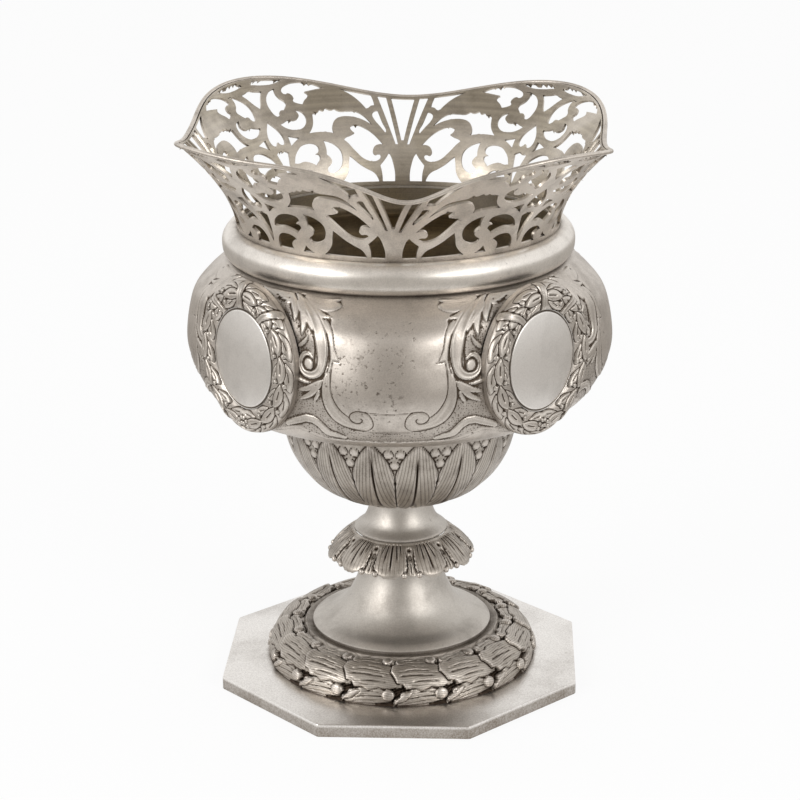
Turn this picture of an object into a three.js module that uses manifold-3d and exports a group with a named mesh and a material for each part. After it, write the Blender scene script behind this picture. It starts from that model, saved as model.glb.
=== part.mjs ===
import * as THREE from 'three';
import { mergeVertices } from 'three/addons/utils/BufferGeometryUtils.js';
import Module from 'manifold-3d';

// Footed silver vase with a pierced gallery. Millimetres, +Z up.
// The origin is at the centre of the plinth's underside. The front panel faces -Y.

// Sheet metal and fits
const sheet = 0.7;
const fit = 0.3;
const sawReach = 2;
const samePoint = 1e-4;

// Plinth
const plinthAcross = 120;
const plinthPlate = 1.2;
const plinthSide = 3.3;
const plinthWall = 2;
const plinthCorners = 8;

// Foot
const footFlange = 30.7;
const footFlangeEdge = 1.4;
const footHeight = 33.6;
const footNeck = 13.2;
const footNeckStraight = 4;

// Laurel border under the foot
const borderRadius = 46.3;
const borderHeight = 12.5;
const borderCrestMargin = 5.3;
const borderSeatMargin = 0.9;
const borderSeatWidth = 3.3;
const borderSeatDrop = 0.9;
const borderLeaves = 16;
const borderLeafSwell = 0.55;
const borderLeafSlant = 1.5;
const borderLeafMargin = 1.6;

// Stem
const stemDiscMargin = 2.7;
const stemDiscEdge = 1;
const stemWaist = 10.4;
const stemHeight = 12.6;
const stemStraight = 1;

// Leaf collar on top of the foot
const collarRadius = 25.1;
const collarDrop = 9.4;
const collarLeaves = 10;
const collarTurn = 6.5;
const collarFlute = 0.7;
const collarTipDrop = 1.1;
const collarSeat = 1.6;

// Bowl
const bowlRadius = 40.6;
const bowlHeight = 34.5;
const bowlStraight = 1;
const bowlLeaves = 16;
const bowlLeafSwell = 0.8;
const bowlLeafVein = 0.45;
const bowlLeafStart = 1.5;
const bowlLeafFade = 5;
const bowlLeafMargin = 5.5;

// Body belt, its four panels and the neck wall
const bodyRadius = 71;
const bodyHeight = 50.8;
const bodyRise = 24;
const bodySeat = 2;
const panels = 4;
const panelRecess = 7.5;
const panelRecessStart = [0.04, 0.4];
const panelRecessEnd = [0.62, 0.98];
const neckRadius = 52.8;
const neckWall = 9.2;

// Half-round moulding round the neck
const neckRingDepth = 5.4;
const neckRingSeat = 1.8;
const neckRingDrop = 10.2;

// Pierced gallery and its rim
const gallerySetOut = 0.5;
const galleryHeight = 31.3;
const gallerySheet = 1;
const galleryFlare = 1.6;
const galleryColumns = 40;
const galleryRows = 3;
const rimRadius = 73.8;
const rimLobe = 6.5;
const rimWave = 3.8;
const rimLean = 1.7;
const rimLeanAngle = 224;
const frontLipDrop = 5.2;
const frontLipReach = 1.5;
const frontLipWidth = 11;
const frontShoulderRise = 1.2;
const frontShoulderAngle = 27;
const frontShoulderWidth = 12;
const leftLipReach = 1.9;
const leftLipAngle = 270;
const leftLipWidth = 15;
const rimWire = 0.9;

// Medallions
const medallionHeight = 31.8;
const medallionWidth = 26.6;
const medallionInset = 3.4;
const medallionDome = 1.6;
const medallionAboveWidest = 3.5;
const medallionMostDepth = 6.6;
const medallionGap = 0.8;
const wreathBorder = 8.8;
const wreathInset = 3.2;
const wreathSlope = 2.1;
const wreathInnerDrop = 1.2;

// Bolt through the stem and foot
const rodRadius = 2;
const rodHead = 5;
const rodHeadThickness = 1.2;
const rodLift = 0.4;
const washerRadius = 6;
const washerThickness = 0.8;
const nutAcross = 8;
const nutLift = 0.6;

// Radii that follow from the ones above
const stemDisc = footNeck + stemDiscMargin;
const galleryRadius = neckRadius + gallerySetOut;
const neckRingRadius = neckRadius + neckRingDepth;

// Heights of the joints, from the underside up
const plinthTop = plinthSide + plinthPlate;
const footBottom = plinthTop + borderHeight - borderSeatDrop;
const footTop = footBottom + footHeight;
const stemBottom = footTop + sheet;
const bowlBottom = stemBottom + stemHeight;
const bodyBottom = bowlBottom + bowlHeight;
const neckTop = bodyBottom + bodyHeight + neckWall;
const galleryBottom = neckTop + sheet;
const medallionCentre = bodyBottom + bodyRise + medallionAboveWidest;

const wasm = await Module();
wasm.setup();

const silver = new THREE.Color('#b9b3ab');
const darkSilver = new THREE.Color('#8f877d');
const steel = new THREE.Color('#77746f');

const vase = new THREE.Group();

function addPiece(name, geometry, colour = silver, roughness = 0.35) {
  const material = new THREE.MeshStandardMaterial({ color: colour, roughness, metalness: 1 });
  const mesh = new THREE.Mesh(geometry, material);
  mesh.name = name;
  vase.add(mesh);
  return mesh;
}

// Six times the signed volume of a closed triangle mesh: positive when its faces point out.
function signedVolume(position, index) {
  const [a, b, c] = [new THREE.Vector3(), new THREE.Vector3(), new THREE.Vector3()];
  let total = 0;
  for (let i = 0; i < index.length; i += 3) {
    a.fromBufferAttribute(position, index[i]);
    b.fromBufferAttribute(position, index[i + 1]);
    c.fromBufferAttribute(position, index[i + 2]);
    total += a.dot(b.cross(c));
  }
  return total;
}

// Merges shared points, drops the triangles that shrink to a line on the axis, and turns the faces out.
function closed(geometry) {
  const bare = geometry.clone();
  bare.deleteAttribute('normal');
  bare.deleteAttribute('uv');
  const merged = mergeVertices(bare, samePoint);
  const kept = [];
  const all = merged.index.array;
  for (let i = 0; i < all.length; i += 3) {
    const [a, b, c] = [all[i], all[i + 1], all[i + 2]];
    if (a !== b && b !== c && c !== a) kept.push(a, b, c);
  }
  if (signedVolume(merged.attributes.position, kept) < 0) kept.reverse();
  merged.setIndex(kept);
  return merged;
}

function toSolid(geometry) {
  const merged = closed(geometry);
  const vertProperties = new Float32Array(merged.attributes.position.array);
  const triVerts = new Uint32Array(merged.index.array);
  return new wasm.Manifold(new wasm.Mesh({ numProp: 3, vertProperties, triVerts }));
}

function toGeometry(solid) {
  const mesh = solid.getMesh();
  const geometry = new THREE.BufferGeometry();
  geometry.setAttribute('position', new THREE.BufferAttribute(new Float32Array(mesh.vertProperties), 3));
  geometry.setIndex(new THREE.BufferAttribute(new Uint32Array(mesh.triVerts), 1));
  return geometry;
}

// Moves every point of a geometry by a rule given in polar form: angle from the front, radius, height.
function reshape(geometry, rule) {
  const position = geometry.attributes.position;
  for (let i = 0; i < position.count; i += 1) {
    const [x, y, z] = [position.getX(i), position.getY(i), position.getZ(i)];
    const radius = Math.hypot(x, y);
    const angle = Math.atan2(x, -y);
    const [newRadius, newZ] = rule(angle, radius, z);
    position.setXYZ(i, newRadius * Math.sin(angle), -newRadius * Math.cos(angle), newZ);
  }
  return geometry;
}

// Turns a closed profile of [radius, height] points about Z, starting at the front.
function turned(profile, segments, rule) {
  const points = profile.map(([radius, height]) => new THREE.Vector2(radius, height));
  const geometry = new THREE.LatheGeometry(points, segments);
  geometry.rotateX(Math.PI / 2);
  return closed(rule ? reshape(geometry, rule) : geometry);
}

// Gives an outer outline a wall: the outline one wall inside it, walked back to close the loop. The ends
// seat on other pieces, so the inside keeps every point there, and every second one between them.
function sheetProfile(outer, wall = sheet) {
  const seat = 3;
  const inner = outer.map((point, i) => {
    const before = outer[Math.max(i - 1, 0)];
    const after = outer[Math.min(i + 1, outer.length - 1)];
    const along = new THREE.Vector2(after[0] - before[0], after[1] - before[1]).normalize();
    return [point[0] - along.y * wall, point[1] + along.x * wall];
  });
  const kept = inner.filter((point, i) => i < seat || i >= inner.length - seat || i % 2 === 0);
  return [...outer, ...kept.reverse(), outer[0]];
}

// A smooth run through the given [radius, height] points.
function smooth(points, steps) {
  const curve = new THREE.SplineCurve(points.map(([x, y]) => new THREE.Vector2(x, y)));
  return curve.getPoints(steps).map((point) => [point.x, point.y]);
}

const { lerp, mapLinear, smoothstep, degToRad } = THREE.MathUtils;
const lift = (points, height) => points.map(([radius, z]) => [radius, z + height]);

// Points given as shares of the way from one [radius, height] corner to another.
function spanned([fromRadius, fromZ], [toRadius, toZ], shares) {
  return shares.map(([across, up]) => [lerp(fromRadius, toRadius, across), lerp(fromZ, toZ, up)]);
}

function octagon(across) {
  const radius = across / 2 / Math.cos(Math.PI / plinthCorners);
  const outline = new THREE.Shape();
  for (let i = 0; i < plinthCorners; i += 1) {
    const angle = ((i + 0.5) * 2 * Math.PI) / plinthCorners;
    outline[i === 0 ? 'moveTo' : 'lineTo'](radius * Math.cos(angle), radius * Math.sin(angle));
  }
  outline.closePath();
  return outline;
}

function extruded(shape, depth, height) {
  const geometry = new THREE.ExtrudeGeometry(shape, { depth, bevelEnabled: false, curveSegments: 6 });
  geometry.translate(0, 0, height);
  return closed(geometry);
}

function roundHole(radius) {
  return new THREE.Path().absarc(0, 0, radius, 0, 2 * Math.PI, true);
}

function addPlinth() {
  const plate = octagon(plinthAcross);
  plate.holes.push(roundHole(rodRadius + fit));
  addPiece('plinth_top_plate', extruded(plate, plinthPlate, plinthSide));

  const strip = octagon(plinthAcross);
  strip.holes.push(octagon(plinthAcross - 2 * plinthWall));
  addPiece('plinth_side_strip', extruded(strip, plinthSide, 0));
}

// The laurel leaves lie one over the next round the border. Each rises to its end and drops to the next one.
function borderRelief(angle, radius, z) {
  const up = z - plinthTop;
  const seat = borderHeight - borderSeatDrop;
  const weight = smoothstep(up, 0, borderLeafMargin) * (1 - smoothstep(up, seat - borderLeafMargin, seat))
    * smoothstep(radius, footFlange + borderSeatMargin, footFlange + borderSeatMargin + borderLeafMargin);
  const turns = (angle / (2 * Math.PI)) * borderLeaves + borderLeafSlant * (up / borderHeight);
  const share = turns - Math.floor(turns);
  return [radius + weight * borderLeafSwell * (2 * share - 1), z];
}

function addBorder() {
  const seat = borderHeight - borderSeatDrop;
  const crest = [footFlange + borderCrestMargin, borderHeight];
  const seatOuter = [footFlange + borderSeatMargin, seat];
  const swell = smooth([
    ...spanned([borderRadius, 0], crest, [[0, 0.1], [0.03, 0.36], [0.22, 0.68], [0.61, 0.92], [1, 1]]),
    ...spanned(crest, seatOuter, [[0.64, 0.55]]),
  ], 6);
  const outer = [
    [borderRadius, 0],
    ...swell,
    seatOuter,
    [footFlange - sheet, seat],
    [seatOuter[0] - borderSeatWidth, seat],
  ];
  const segments = borderLeaves * 4;
  addPiece('wreath_ring', turned(lift(sheetProfile(outer), plinthTop), segments, borderRelief), darkSilver);
}

function addFoot() {
  const straightFrom = footHeight - footNeckStraight;
  const trumpet = smooth(spanned([footFlange, footFlangeEdge], [footNeck, straightFrom], [
    [0.13, 0.04], [0.38, 0.1], [0.64, 0.24], [0.81, 0.42], [0.92, 0.59], [0.98, 0.76],
  ]), 6);
  const outer = [
    [footFlange, 0],
    [footFlange, footFlangeEdge],
    ...trumpet,
    [footNeck, straightFrom],
    [footNeck, footHeight],
  ];
  addPiece('foot', turned(lift(sheetProfile(outer), footBottom), 36));
}

// The collar hangs over the top of the foot, and its leaves end in points.
function addCollar() {
  const outer = smooth(spanned([collarRadius, -collarDrop], [stemDisc, 0], [
    [0.06, 0], [0, 0.15], [0.12, 0.4], [0.42, 0.7], [0.74, 0.91],
  ]), 5);
  outer.push([stemDisc, 0], [footNeck, 0], [footNeck - collarSeat, 0]);
  const fluted = (angle, radius, z) => {
    const wave = Math.cos(collarLeaves * (angle - degToRad(collarTurn)));
    const weight = smoothstep(mapLinear(radius, stemDisc, collarRadius, 0, 1), 0.1, 0.8);
    const tip = smoothstep((stemBottom - z) / collarDrop, 0.6, 1);
    return [radius + collarFlute * weight * wave, z - collarTipDrop * tip * wave];
  };
  const segments = collarLeaves * 4;
  addPiece('leaf_collar', turned(lift(sheetProfile(outer), stemBottom), segments, fluted), darkSilver);
}

function addStem() {
  const straightFrom = stemHeight - stemStraight;
  const waist = smooth(spanned([stemDisc, stemDiscEdge], [stemWaist, straightFrom], [
    [0, 0], [0.51, 0.2], [0.79, 0.45], [0.95, 0.75],
  ]), 4);
  const outer = [[stemDisc, 0], ...waist, [stemWaist, straightFrom], [stemWaist, stemHeight]];
  addPiece('stem', turned(lift(sheetProfile(outer), stemBottom), 28));
}

// The lancet leaves swell out of the bowl, each with a sunk midrib. The front lies between two of them.
function bowlRelief(angle, radius, z) {
  const up = z - bowlBottom;
  const tip = bowlHeight - bowlLeafMargin;
  const weight = smoothstep(up, bowlLeafStart, bowlLeafStart + bowlLeafFade)
    * (1 - smoothstep(up, tip - bowlLeafFade, tip));
  const turns = (angle / (2 * Math.PI)) * bowlLeaves;
  const across = Math.abs(2 * (turns - Math.floor(turns)) - 1);
  const swell = bowlLeafSwell * (1 - across * across);
  const vein = bowlLeafVein * (1 - smoothstep(across, 0, 0.3));
  return [radius + weight * (swell - vein), z];
}

function addBowl() {
  const curve = smooth(spanned([stemWaist, 0], [bowlRadius, bowlHeight], [
    [0.04, 0], [0.28, 0.04], [0.53, 0.145], [0.725, 0.3], [0.87, 0.51], [0.95, 0.74], [0.99, 0.91],
  ]), 7);
  const outer = [
    [0, 0],
    [stemWaist, 0],
    ...curve,
    [bowlRadius, bowlHeight - bowlStraight],
    [bowlRadius, bowlHeight],
  ];
  const segments = bowlLeaves * 4;
  addPiece('bowl', turned(lift(sheetProfile(outer), bowlBottom), segments, bowlRelief), darkSilver);
}

// The belt is round at the neck and underneath. Between them it is drawn in behind the medallions.
function bodyRecess(angle, z) {
  const up = (z - bodyBottom) / bodyHeight;
  const height = smoothstep(up, ...panelRecessStart) * (1 - smoothstep(up, ...panelRecessEnd));
  return panelRecess * height * 0.5 * (1 - Math.cos(panels * angle));
}

function beltOutline() {
  const widest = [bodyRadius, bodyRise];
  return smooth([
    ...spanned([bowlRadius, 0], widest, [[0.11, 0], [0.41, 0.04], [0.64, 0.13], [0.82, 0.32], [0.95, 0.63]]),
    widest,
    ...spanned(widest, [neckRadius, bodyHeight], [[0.13, 0.5], [0.4, 0.76], [0.77, 0.96], [0.96, 1.015]]),
  ], 11);
}

function addBody() {
  const outer = [
    [bowlRadius - bodySeat, 0],
    [bowlRadius, 0],
    ...beltOutline(),
    [neckRadius, bodyHeight + neckWall / 2],
    [neckRadius, bodyHeight + neckWall],
  ];
  const drawnIn = (angle, radius, z) => [radius - bodyRecess(angle, z), z];
  addPiece('body_shell', turned(lift(sheetProfile(outer), bodyBottom), 48, drawnIn));
}

// Radius of the belt's outer face at a height and angle, read between two points of its outline.
function bodySurface(angle, z) {
  const outline = lift(beltOutline(), bodyBottom);
  const radiusAt = ([radius, height]) => radius - bodyRecess(angle, height);
  for (let i = 1; i < outline.length; i += 1) {
    const [low, high] = [outline[i - 1], outline[i]];
    if (z >= low[1] && z <= high[1]) {
      return mapLinear(z, low[1], high[1], radiusAt(low), radiusAt(high));
    }
  }
  return neckRadius;
}

function addNeckRing() {
  const outer = smooth(spanned([neckRingRadius, -neckRingDrop], [galleryRadius, 0], [
    [0.65, 0.03], [0.14, 0.2], [0, 0.44], [0.04, 0.69], [0.45, 0.95], [0.88, 1],
  ]), 6);
  outer.push([galleryRadius, 0], [neckRadius - sheet, 0], [neckRadius - neckRingSeat, 0]);
  addPiece('neck_ring', turned(lift(sheetProfile(outer), galleryBottom), 44));
}

// Distance of the belt's face from the axis, along a medallion's own axis, at a sideways offset.
function beltDepth(sideways, z) {
  let depth = bodyRadius - medallionInset;
  for (let i = 0; i < 6; i += 1) {
    const angle = Math.PI / panels + Math.atan2(sideways, depth);
    const radius = bodySurface(angle, z);
    depth = Math.sqrt(Math.max(radius * radius - sideways * sideways, 0));
  }
  return Math.max(depth + medallionGap, bodyRadius - medallionInset - medallionMostDepth);
}

// Places a point given by its sideways offset, height and depth on the medallion with the given number.
function medallionPoint(number, sideways, z, depth) {
  const angle = ((number - 0.5) * 2 * Math.PI) / panels;
  const x = depth * Math.sin(angle) + sideways * Math.cos(angle);
  const y = -depth * Math.cos(angle) + sideways * Math.sin(angle);
  return [x, y, z];
}

// A closed skin over rings of points. The rings have the same count, but the end rings may be single points.
function skinOverRings(rings) {
  const vertices = [];
  const faces = [];
  const starts = rings.map((ring) => {
    const start = vertices.length / 3;
    ring.forEach((point) => vertices.push(...point));
    return start;
  });
  for (let k = 0; k + 1 < rings.length; k += 1) {
    const [low, high] = [rings[k], rings[k + 1]];
    const count = Math.max(low.length, high.length);
    for (let i = 0; i < count; i += 1) {
      const a = starts[k] + (i % low.length);
      const b = starts[k] + ((i + 1) % low.length);
      const c = starts[k + 1] + ((i + 1) % high.length);
      const d = starts[k + 1] + (i % high.length);
      faces.push(a, b, c, a, c, d);
    }
  }
  const geometry = new THREE.BufferGeometry();
  geometry.setAttribute('position', new THREE.Float32BufferAttribute(vertices, 3));
  geometry.setIndex(faces);
  return closed(geometry);
}

function ovalRing(number, width, height, segments, depthAt) {
  const ring = [];
  for (let i = 0; i < segments; i += 1) {
    const angle = (i * 2 * Math.PI) / segments;
    const sideways = (width / 2) * Math.cos(angle);
    const z = medallionCentre + (height / 2) * Math.sin(angle);
    ring.push(medallionPoint(number, sideways, z, depthAt(sideways, z)));
  }
  return ring;
}

// A plain domed oval whose back follows the belt.
function addMedallionPlate(number) {
  const segments = 24;
  const crown = bodyRadius - medallionInset;
  const front = (share) => () => crown - medallionDome * share * share;
  const oval = (share, depthAt) =>
    ovalRing(number, medallionWidth * share, medallionHeight * share, segments, depthAt);
  const rings = [
    [medallionPoint(number, 0, medallionCentre, crown)],
    oval(0.6, front(0.6)),
    oval(1, front(1)),
    oval(1, beltDepth),
    oval(0.5, beltDepth),
    [medallionPoint(number, 0, medallionCentre, beltDepth(0, medallionCentre))],
  ];
  addPiece(`medallion_plate_${number}`, skinOverRings(rings));
}

// A raised oval frame that stands on the belt and leaves room for the plate.
function addMedallionWreath(number) {
  const segments = 28;
  const innerWidth = medallionWidth + 2 * fit;
  const innerHeight = medallionHeight + 2 * fit;
  const oval = (share, depthAt) => ovalRing(
    number,
    lerp(innerWidth, medallionWidth + 2 * wreathBorder, share),
    lerp(innerHeight, medallionHeight + 2 * wreathBorder, share),
    segments,
    depthAt,
  );
  const crest = bodyRadius - wreathInset;
  const rings = [
    oval(0, beltDepth),
    oval(0, () => crest - wreathInnerDrop),
    oval(0.4, () => crest),
    oval(1, () => crest - wreathSlope),
    oval(1, beltDepth),
    oval(0.75, beltDepth),
    oval(0.4, beltDepth),
    oval(0, beltDepth),
  ];
  addPiece(`medallion_wreath_${number}`, skinOverRings(rings), darkSilver);
}

// One at the given angle and fading out over the given width on both sides of it, all in degrees.
function nearAngle(angle, centre, width) {
  const away = angle - degToRad(centre);
  const wrapped = Math.atan2(Math.sin(away), Math.cos(away));
  return Math.exp(-((wrapped / degToRad(width)) ** 2));
}

// The rim dips and draws in at the four lips and rises and spreads at the four corners. It is bent by hand:
// it leans a little, the front lip dips deeper, between raised shoulders, and the left lip reaches further.
function rimAt(angle) {
  const lobe = Math.cos(panels * angle);
  const lean = rimLean * Math.cos(angle - degToRad(rimLeanAngle));
  const front = nearAngle(angle, 0, frontLipWidth);
  const left = nearAngle(angle, leftLipAngle, leftLipWidth);
  const shoulders = nearAngle(angle, frontShoulderAngle, frontShoulderWidth)
    + nearAngle(angle, -frontShoulderAngle, frontShoulderWidth);
  return {
    radius: rimRadius - rimLobe * lobe + frontLipReach * front + leftLipReach * left,
    height: galleryHeight - rimWave * lobe + lean - frontLipDrop * front + frontShoulderRise * shoulders,
  };
}

// A point of the gallery's outer face: share runs from 0 at the seat to 1 at the rim.
function galleryAt(angle, share) {
  const rim = rimAt(angle);
  const radius = galleryRadius + (rim.radius - galleryRadius) * Math.max(share, 0) ** galleryFlare;
  return [radius, galleryBottom + rim.height * share];
}

// Outlines of the pierced holes between a lip and the next corner. Each point is an angle in degrees, from
// the lip at 0 to the corner at 45, and a height in percent of the wall.
const patternCornerAngle = 45;
const pierced = {
  lipFan: [[0, 95], [3.6, 95], [0.4, 51], [0, 51]],
  fanSlit: [[5.2, 95], [7.7, 95], [2.4, 46.5], [1.6, 46.5]],
  fanDrop: [[8, 81.5], [9.8, 76], [7.8, 66], [5.8, 58.5]],
  lipCorner: [[9.6, 95], [9, 86.4], [11.3, 81.5], [14.5, 91], [18.3, 95]],
  leafUnder: [
    [10.1, 65.2], [14.4, 70.5], [19.8, 69.4], [23.2, 61], [23.4, 52.6], [31.9, 51.3], [29.2, 63],
    [28.2, 70], [15.2, 77],
  ],
  scrollEye: [
    [6.9, 45.6], [10.3, 56.8], [14.9, 63.2], [17.5, 58.5], [16.6, 54.5], [20.4, 47.2], [16.3, 34.8],
    [12.2, 27.2], [8.2, 30.4], [8.4, 34.4], [10.6, 37],
  ],
  columnSide: [[4.9, 36.5], [8.2, 22.5], [7.5, 4.6], [2.8, 4.6]],
  lowCorner: [[19.3, 32], [10.2, 13], [8.8, 4.6], [23.6, 4.6], [20.5, 16]],
  crescentRight: [[27.8, 45.4], [23.6, 41.4], [21.9, 31], [23.4, 19], [27.2, 15], [28.3, 20], [26.4, 28]],
  crescentLeft: [[30.3, 39], [33, 42.6], [37.6, 38.6], [41.2, 27], [32.6, 22.8], [30.5, 31]],
  scrollLow: [[42.4, 4.6], [42, 12], [38.5, 20], [33.8, 15.2], [35.6, 4.6]],
  smallTriangle: [[36.2, 47.6], [40.2, 50], [40.3, 41.4]],
  roundScroll: [[33.6, 71.4], [31.3, 65], [34, 55.3], [38.8, 55.6], [40.9, 60], [36, 63]],
  leafDrop: [[37.4, 89], [36, 77], [39, 69], [41.3, 67.4], [41.9, 76]],
  rimScroll: [[23.4, 94], [29, 95], [33.4, 92.8], [35.3, 86], [32.8, 82], [30.7, 76.8], [28.2, 86]],
  cornerWedge: [[45, 38.6], [42.3, 36.4], [45, 8.4]],
  cornerDrop: [[45, 63.5], [42, 51], [43, 43.4], [45, 46.2]],
  cornerPeak: [[45, 89.6], [41.4, 87.6], [45, 73.8]],
};

const onLip = new Set(['lipFan']);
const onCorner = new Set(['cornerWedge', 'cornerDrop', 'cornerPeak']);

function mirrorAbout(points, line) {
  return points.map(([angle, height]) => [2 * line - angle, height]).reverse();
}

// Holes that lie across a mirror line are closed up with their other half.
function outlinesOfOneLobe() {
  const outlines = [];
  for (const [name, points] of Object.entries(pierced)) {
    if (onLip.has(name)) {
      outlines.push([...points, ...mirrorAbout(points, 0)]);
    } else if (onCorner.has(name)) {
      outlines.push([...points, ...mirrorAbout(points, patternCornerAngle)]);
    } else {
      outlines.push(points, mirrorAbout(points, 0));
    }
  }
  return outlines;
}

function withoutRepeats(points) {
  return points.filter(([x, y], i) => {
    const [nextX, nextY] = points[(i + 1) % points.length];
    return Math.hypot(x - nextX, y - nextY) > samePoint;
  });
}

// A closed plug through the sheet, with its outline on the wall and its two ends clear of both faces.
function holePlug(outline, lobe) {
  const points = withoutRepeats(outline);
  const halfLobe = Math.PI / panels;
  const flat = points.map(([angle, height]) => new THREE.Vector2(angle, height));
  const caps = THREE.ShapeUtils.triangulateShape(flat, []);
  const vertices = [];
  for (const reach of [-gallerySheet - sawReach, sawReach]) {
    for (const [degrees, percent] of points) {
      const angle = halfLobe * (2 * lobe + degrees / patternCornerAngle);
      const [radius, z] = galleryAt(angle, percent / 100);
      vertices.push((radius + reach) * Math.sin(angle), -(radius + reach) * Math.cos(angle), z);
    }
  }
  const count = points.length;
  const faces = [];
  caps.forEach(([a, b, c]) => faces.push(a, b, c, c + count, b + count, a + count));
  const ccw = !THREE.ShapeUtils.isClockWise(flat);
  for (let i = 0; i < count; i += 1) {
    const next = (i + 1) % count;
    const [a, b] = ccw ? [next, i] : [i, next];
    faces.push(a, b, b + count, a, b + count, a + count);
  }
  const geometry = new THREE.BufferGeometry();
  geometry.setAttribute('position', new THREE.Float32BufferAttribute(vertices, 3));
  geometry.setIndex(faces);
  return toSolid(geometry);
}

function gallerySheetSolid() {
  const wallLength = Math.hypot(rimRadius - galleryRadius, galleryHeight);
  const topShare = 1 - (rimWire + fit) / wallLength;
  const rings = [];
  const ringAt = (share, inwards) => {
    const ring = [];
    for (let i = 0; i < galleryColumns; i += 1) {
      const angle = (i * 2 * Math.PI) / galleryColumns;
      const [radius, z] = galleryAt(angle, share);
      ring.push([(radius - inwards) * Math.sin(angle), -(radius - inwards) * Math.cos(angle), z]);
    }
    return ring;
  };
  for (let k = 0; k <= galleryRows; k += 1) rings.push(ringAt((topShare * k) / galleryRows, 0));
  for (let k = galleryRows; k >= 0; k -= 1) rings.push(ringAt((topShare * k) / galleryRows, gallerySheet));
  rings.push(rings[0]);
  return toSolid(skinOverRings(rings));
}

function addGallery() {
  let wall = gallerySheetSolid();
  for (let lobe = 0; lobe < panels; lobe += 1) {
    for (const outline of outlinesOfOneLobe()) {
      wall = wall.subtract(holePlug(outline, lobe));
    }
  }
  addPiece('gallery', toGeometry(wall));
}

function addRimWire() {
  const geometry = new THREE.TorusGeometry(rimRadius, rimWire, 6, galleryColumns);
  const alongRim = (angle, radius, z) => {
    const rim = rimAt(angle);
    return [rim.radius + radius - rimRadius, galleryBottom + rim.height + z];
  };
  addPiece('rim_wire', closed(reshape(geometry, alongRim)));
}

function addFixing() {
  const rod = [
    [0, rodLift],
    [rodRadius, rodLift],
    [rodRadius, bowlBottom - rodHeadThickness],
    [rodHead, bowlBottom - rodHeadThickness],
    [rodHead, bowlBottom],
    [0, bowlBottom],
  ];
  addPiece('tie_rod', turned(rod, 16), steel, 0.5);

  const washer = [
    [rodRadius + fit, plinthSide - washerThickness],
    [washerRadius, plinthSide - washerThickness],
    [washerRadius, plinthSide],
    [rodRadius + fit, plinthSide],
    [rodRadius + fit, plinthSide - washerThickness],
  ];
  addPiece('washer', turned(washer, 20), steel, 0.5);

  const hexagon = new THREE.Shape();
  const corners = 6;
  for (let i = 0; i < corners; i += 1) {
    const angle = (i * 2 * Math.PI) / corners;
    const radius = nutAcross / 2 / Math.cos(Math.PI / corners);
    hexagon[i === 0 ? 'moveTo' : 'lineTo'](radius * Math.cos(angle), radius * Math.sin(angle));
  }
  hexagon.closePath();
  hexagon.holes.push(roundHole(rodRadius + fit));
  const nutThickness = plinthSide - washerThickness - nutLift;
  addPiece('nut', extruded(hexagon, nutThickness, nutLift), steel, 0.5);
}

addPlinth();
addBorder();
addFoot();
addCollar();
addStem();
addBowl();
addBody();
for (let number = 1; number <= panels; number += 1) {
  addMedallionPlate(number);
  addMedallionWreath(number);
}
addNeckRing();
addGallery();
addRimWire();
addFixing();

export default vase;
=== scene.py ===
import math

import bpy
import numpy as np
from mathutils import Matrix


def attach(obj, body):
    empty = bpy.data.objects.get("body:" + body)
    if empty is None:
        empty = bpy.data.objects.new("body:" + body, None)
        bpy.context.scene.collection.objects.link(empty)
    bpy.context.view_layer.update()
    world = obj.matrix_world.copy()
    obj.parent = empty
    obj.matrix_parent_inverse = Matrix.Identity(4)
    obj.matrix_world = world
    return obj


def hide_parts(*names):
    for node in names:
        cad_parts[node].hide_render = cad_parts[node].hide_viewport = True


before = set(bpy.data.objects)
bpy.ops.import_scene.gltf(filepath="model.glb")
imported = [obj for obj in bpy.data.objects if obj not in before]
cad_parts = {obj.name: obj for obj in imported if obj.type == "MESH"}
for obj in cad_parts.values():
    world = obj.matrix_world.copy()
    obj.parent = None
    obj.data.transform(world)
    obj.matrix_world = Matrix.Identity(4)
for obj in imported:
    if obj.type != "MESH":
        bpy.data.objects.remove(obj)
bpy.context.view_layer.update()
mm = 0.001
# mm between the points of a finely measured line
shortStep = 0.05
# wear of plain ground, between 0 in a cut and 1 on a ridge
levelWear = 0.5

# Heights above the table, in mm, as in the CAD
levels = {
    "plinthTop": 4.5,
    "bodyBottom": 97.5,
    "galleryBottom": 158.2,
    "medallionCentre": 125.0,
}


def putDownAll():
    bpy.ops.object.select_all(action="DESELECT")


def takeUp(*pieces):
    putDownAll()
    for piece in pieces:
        piece.select_set(True)
    bpy.context.view_layer.objects.active = pieces[0]


def named(piece, name):
    piece.name = name
    piece.data.name = name
    return piece


def openUp(piece):
    # into edit mode with the whole mesh selected
    takeUp(piece)
    bpy.ops.object.mode_set(mode="EDIT")
    bpy.ops.mesh.select_all(action="SELECT")


def closeUp():
    bpy.ops.object.mode_set(mode="OBJECT")


def weld(piece, gap=0.01):
    openUp(piece)
    bpy.ops.mesh.remove_doubles(threshold=gap * mm)
    bpy.ops.mesh.normals_make_consistent(inside=False)
    closeUp()


def keepTurns():
    bpy.ops.object.transform_apply(location=True, rotation=True, scale=True)


def turnUpright(angle):
    # turns what is selected round the vase's axis and keeps its object at the origin
    bpy.ops.transform.rotate(value=angle, orient_axis="Z", center_override=(0, 0, 0))
    keepTurns()


def turnedCopies(piece, count, way=1):
    copies = [piece]
    for k in range(1, count):
        takeUp(piece)
        bpy.ops.object.duplicate(linked=False)
        copies.append(bpy.context.object)
        turnUpright(way * 2 * math.pi * k / count)
    return copies


def ringOfCopies(piece, count):
    # copies of one sector, welded into a ring
    takeUp(*turnedCopies(piece, count))
    bpy.ops.object.join()
    weld(piece)
    return piece


def quartersOf(first, names):
    # the other three quarters are turned copies, each named for the side that it ends on
    return [named(piece, name) for piece, name in zip(turnedCopies(first, 4, -1), names)]


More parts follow.
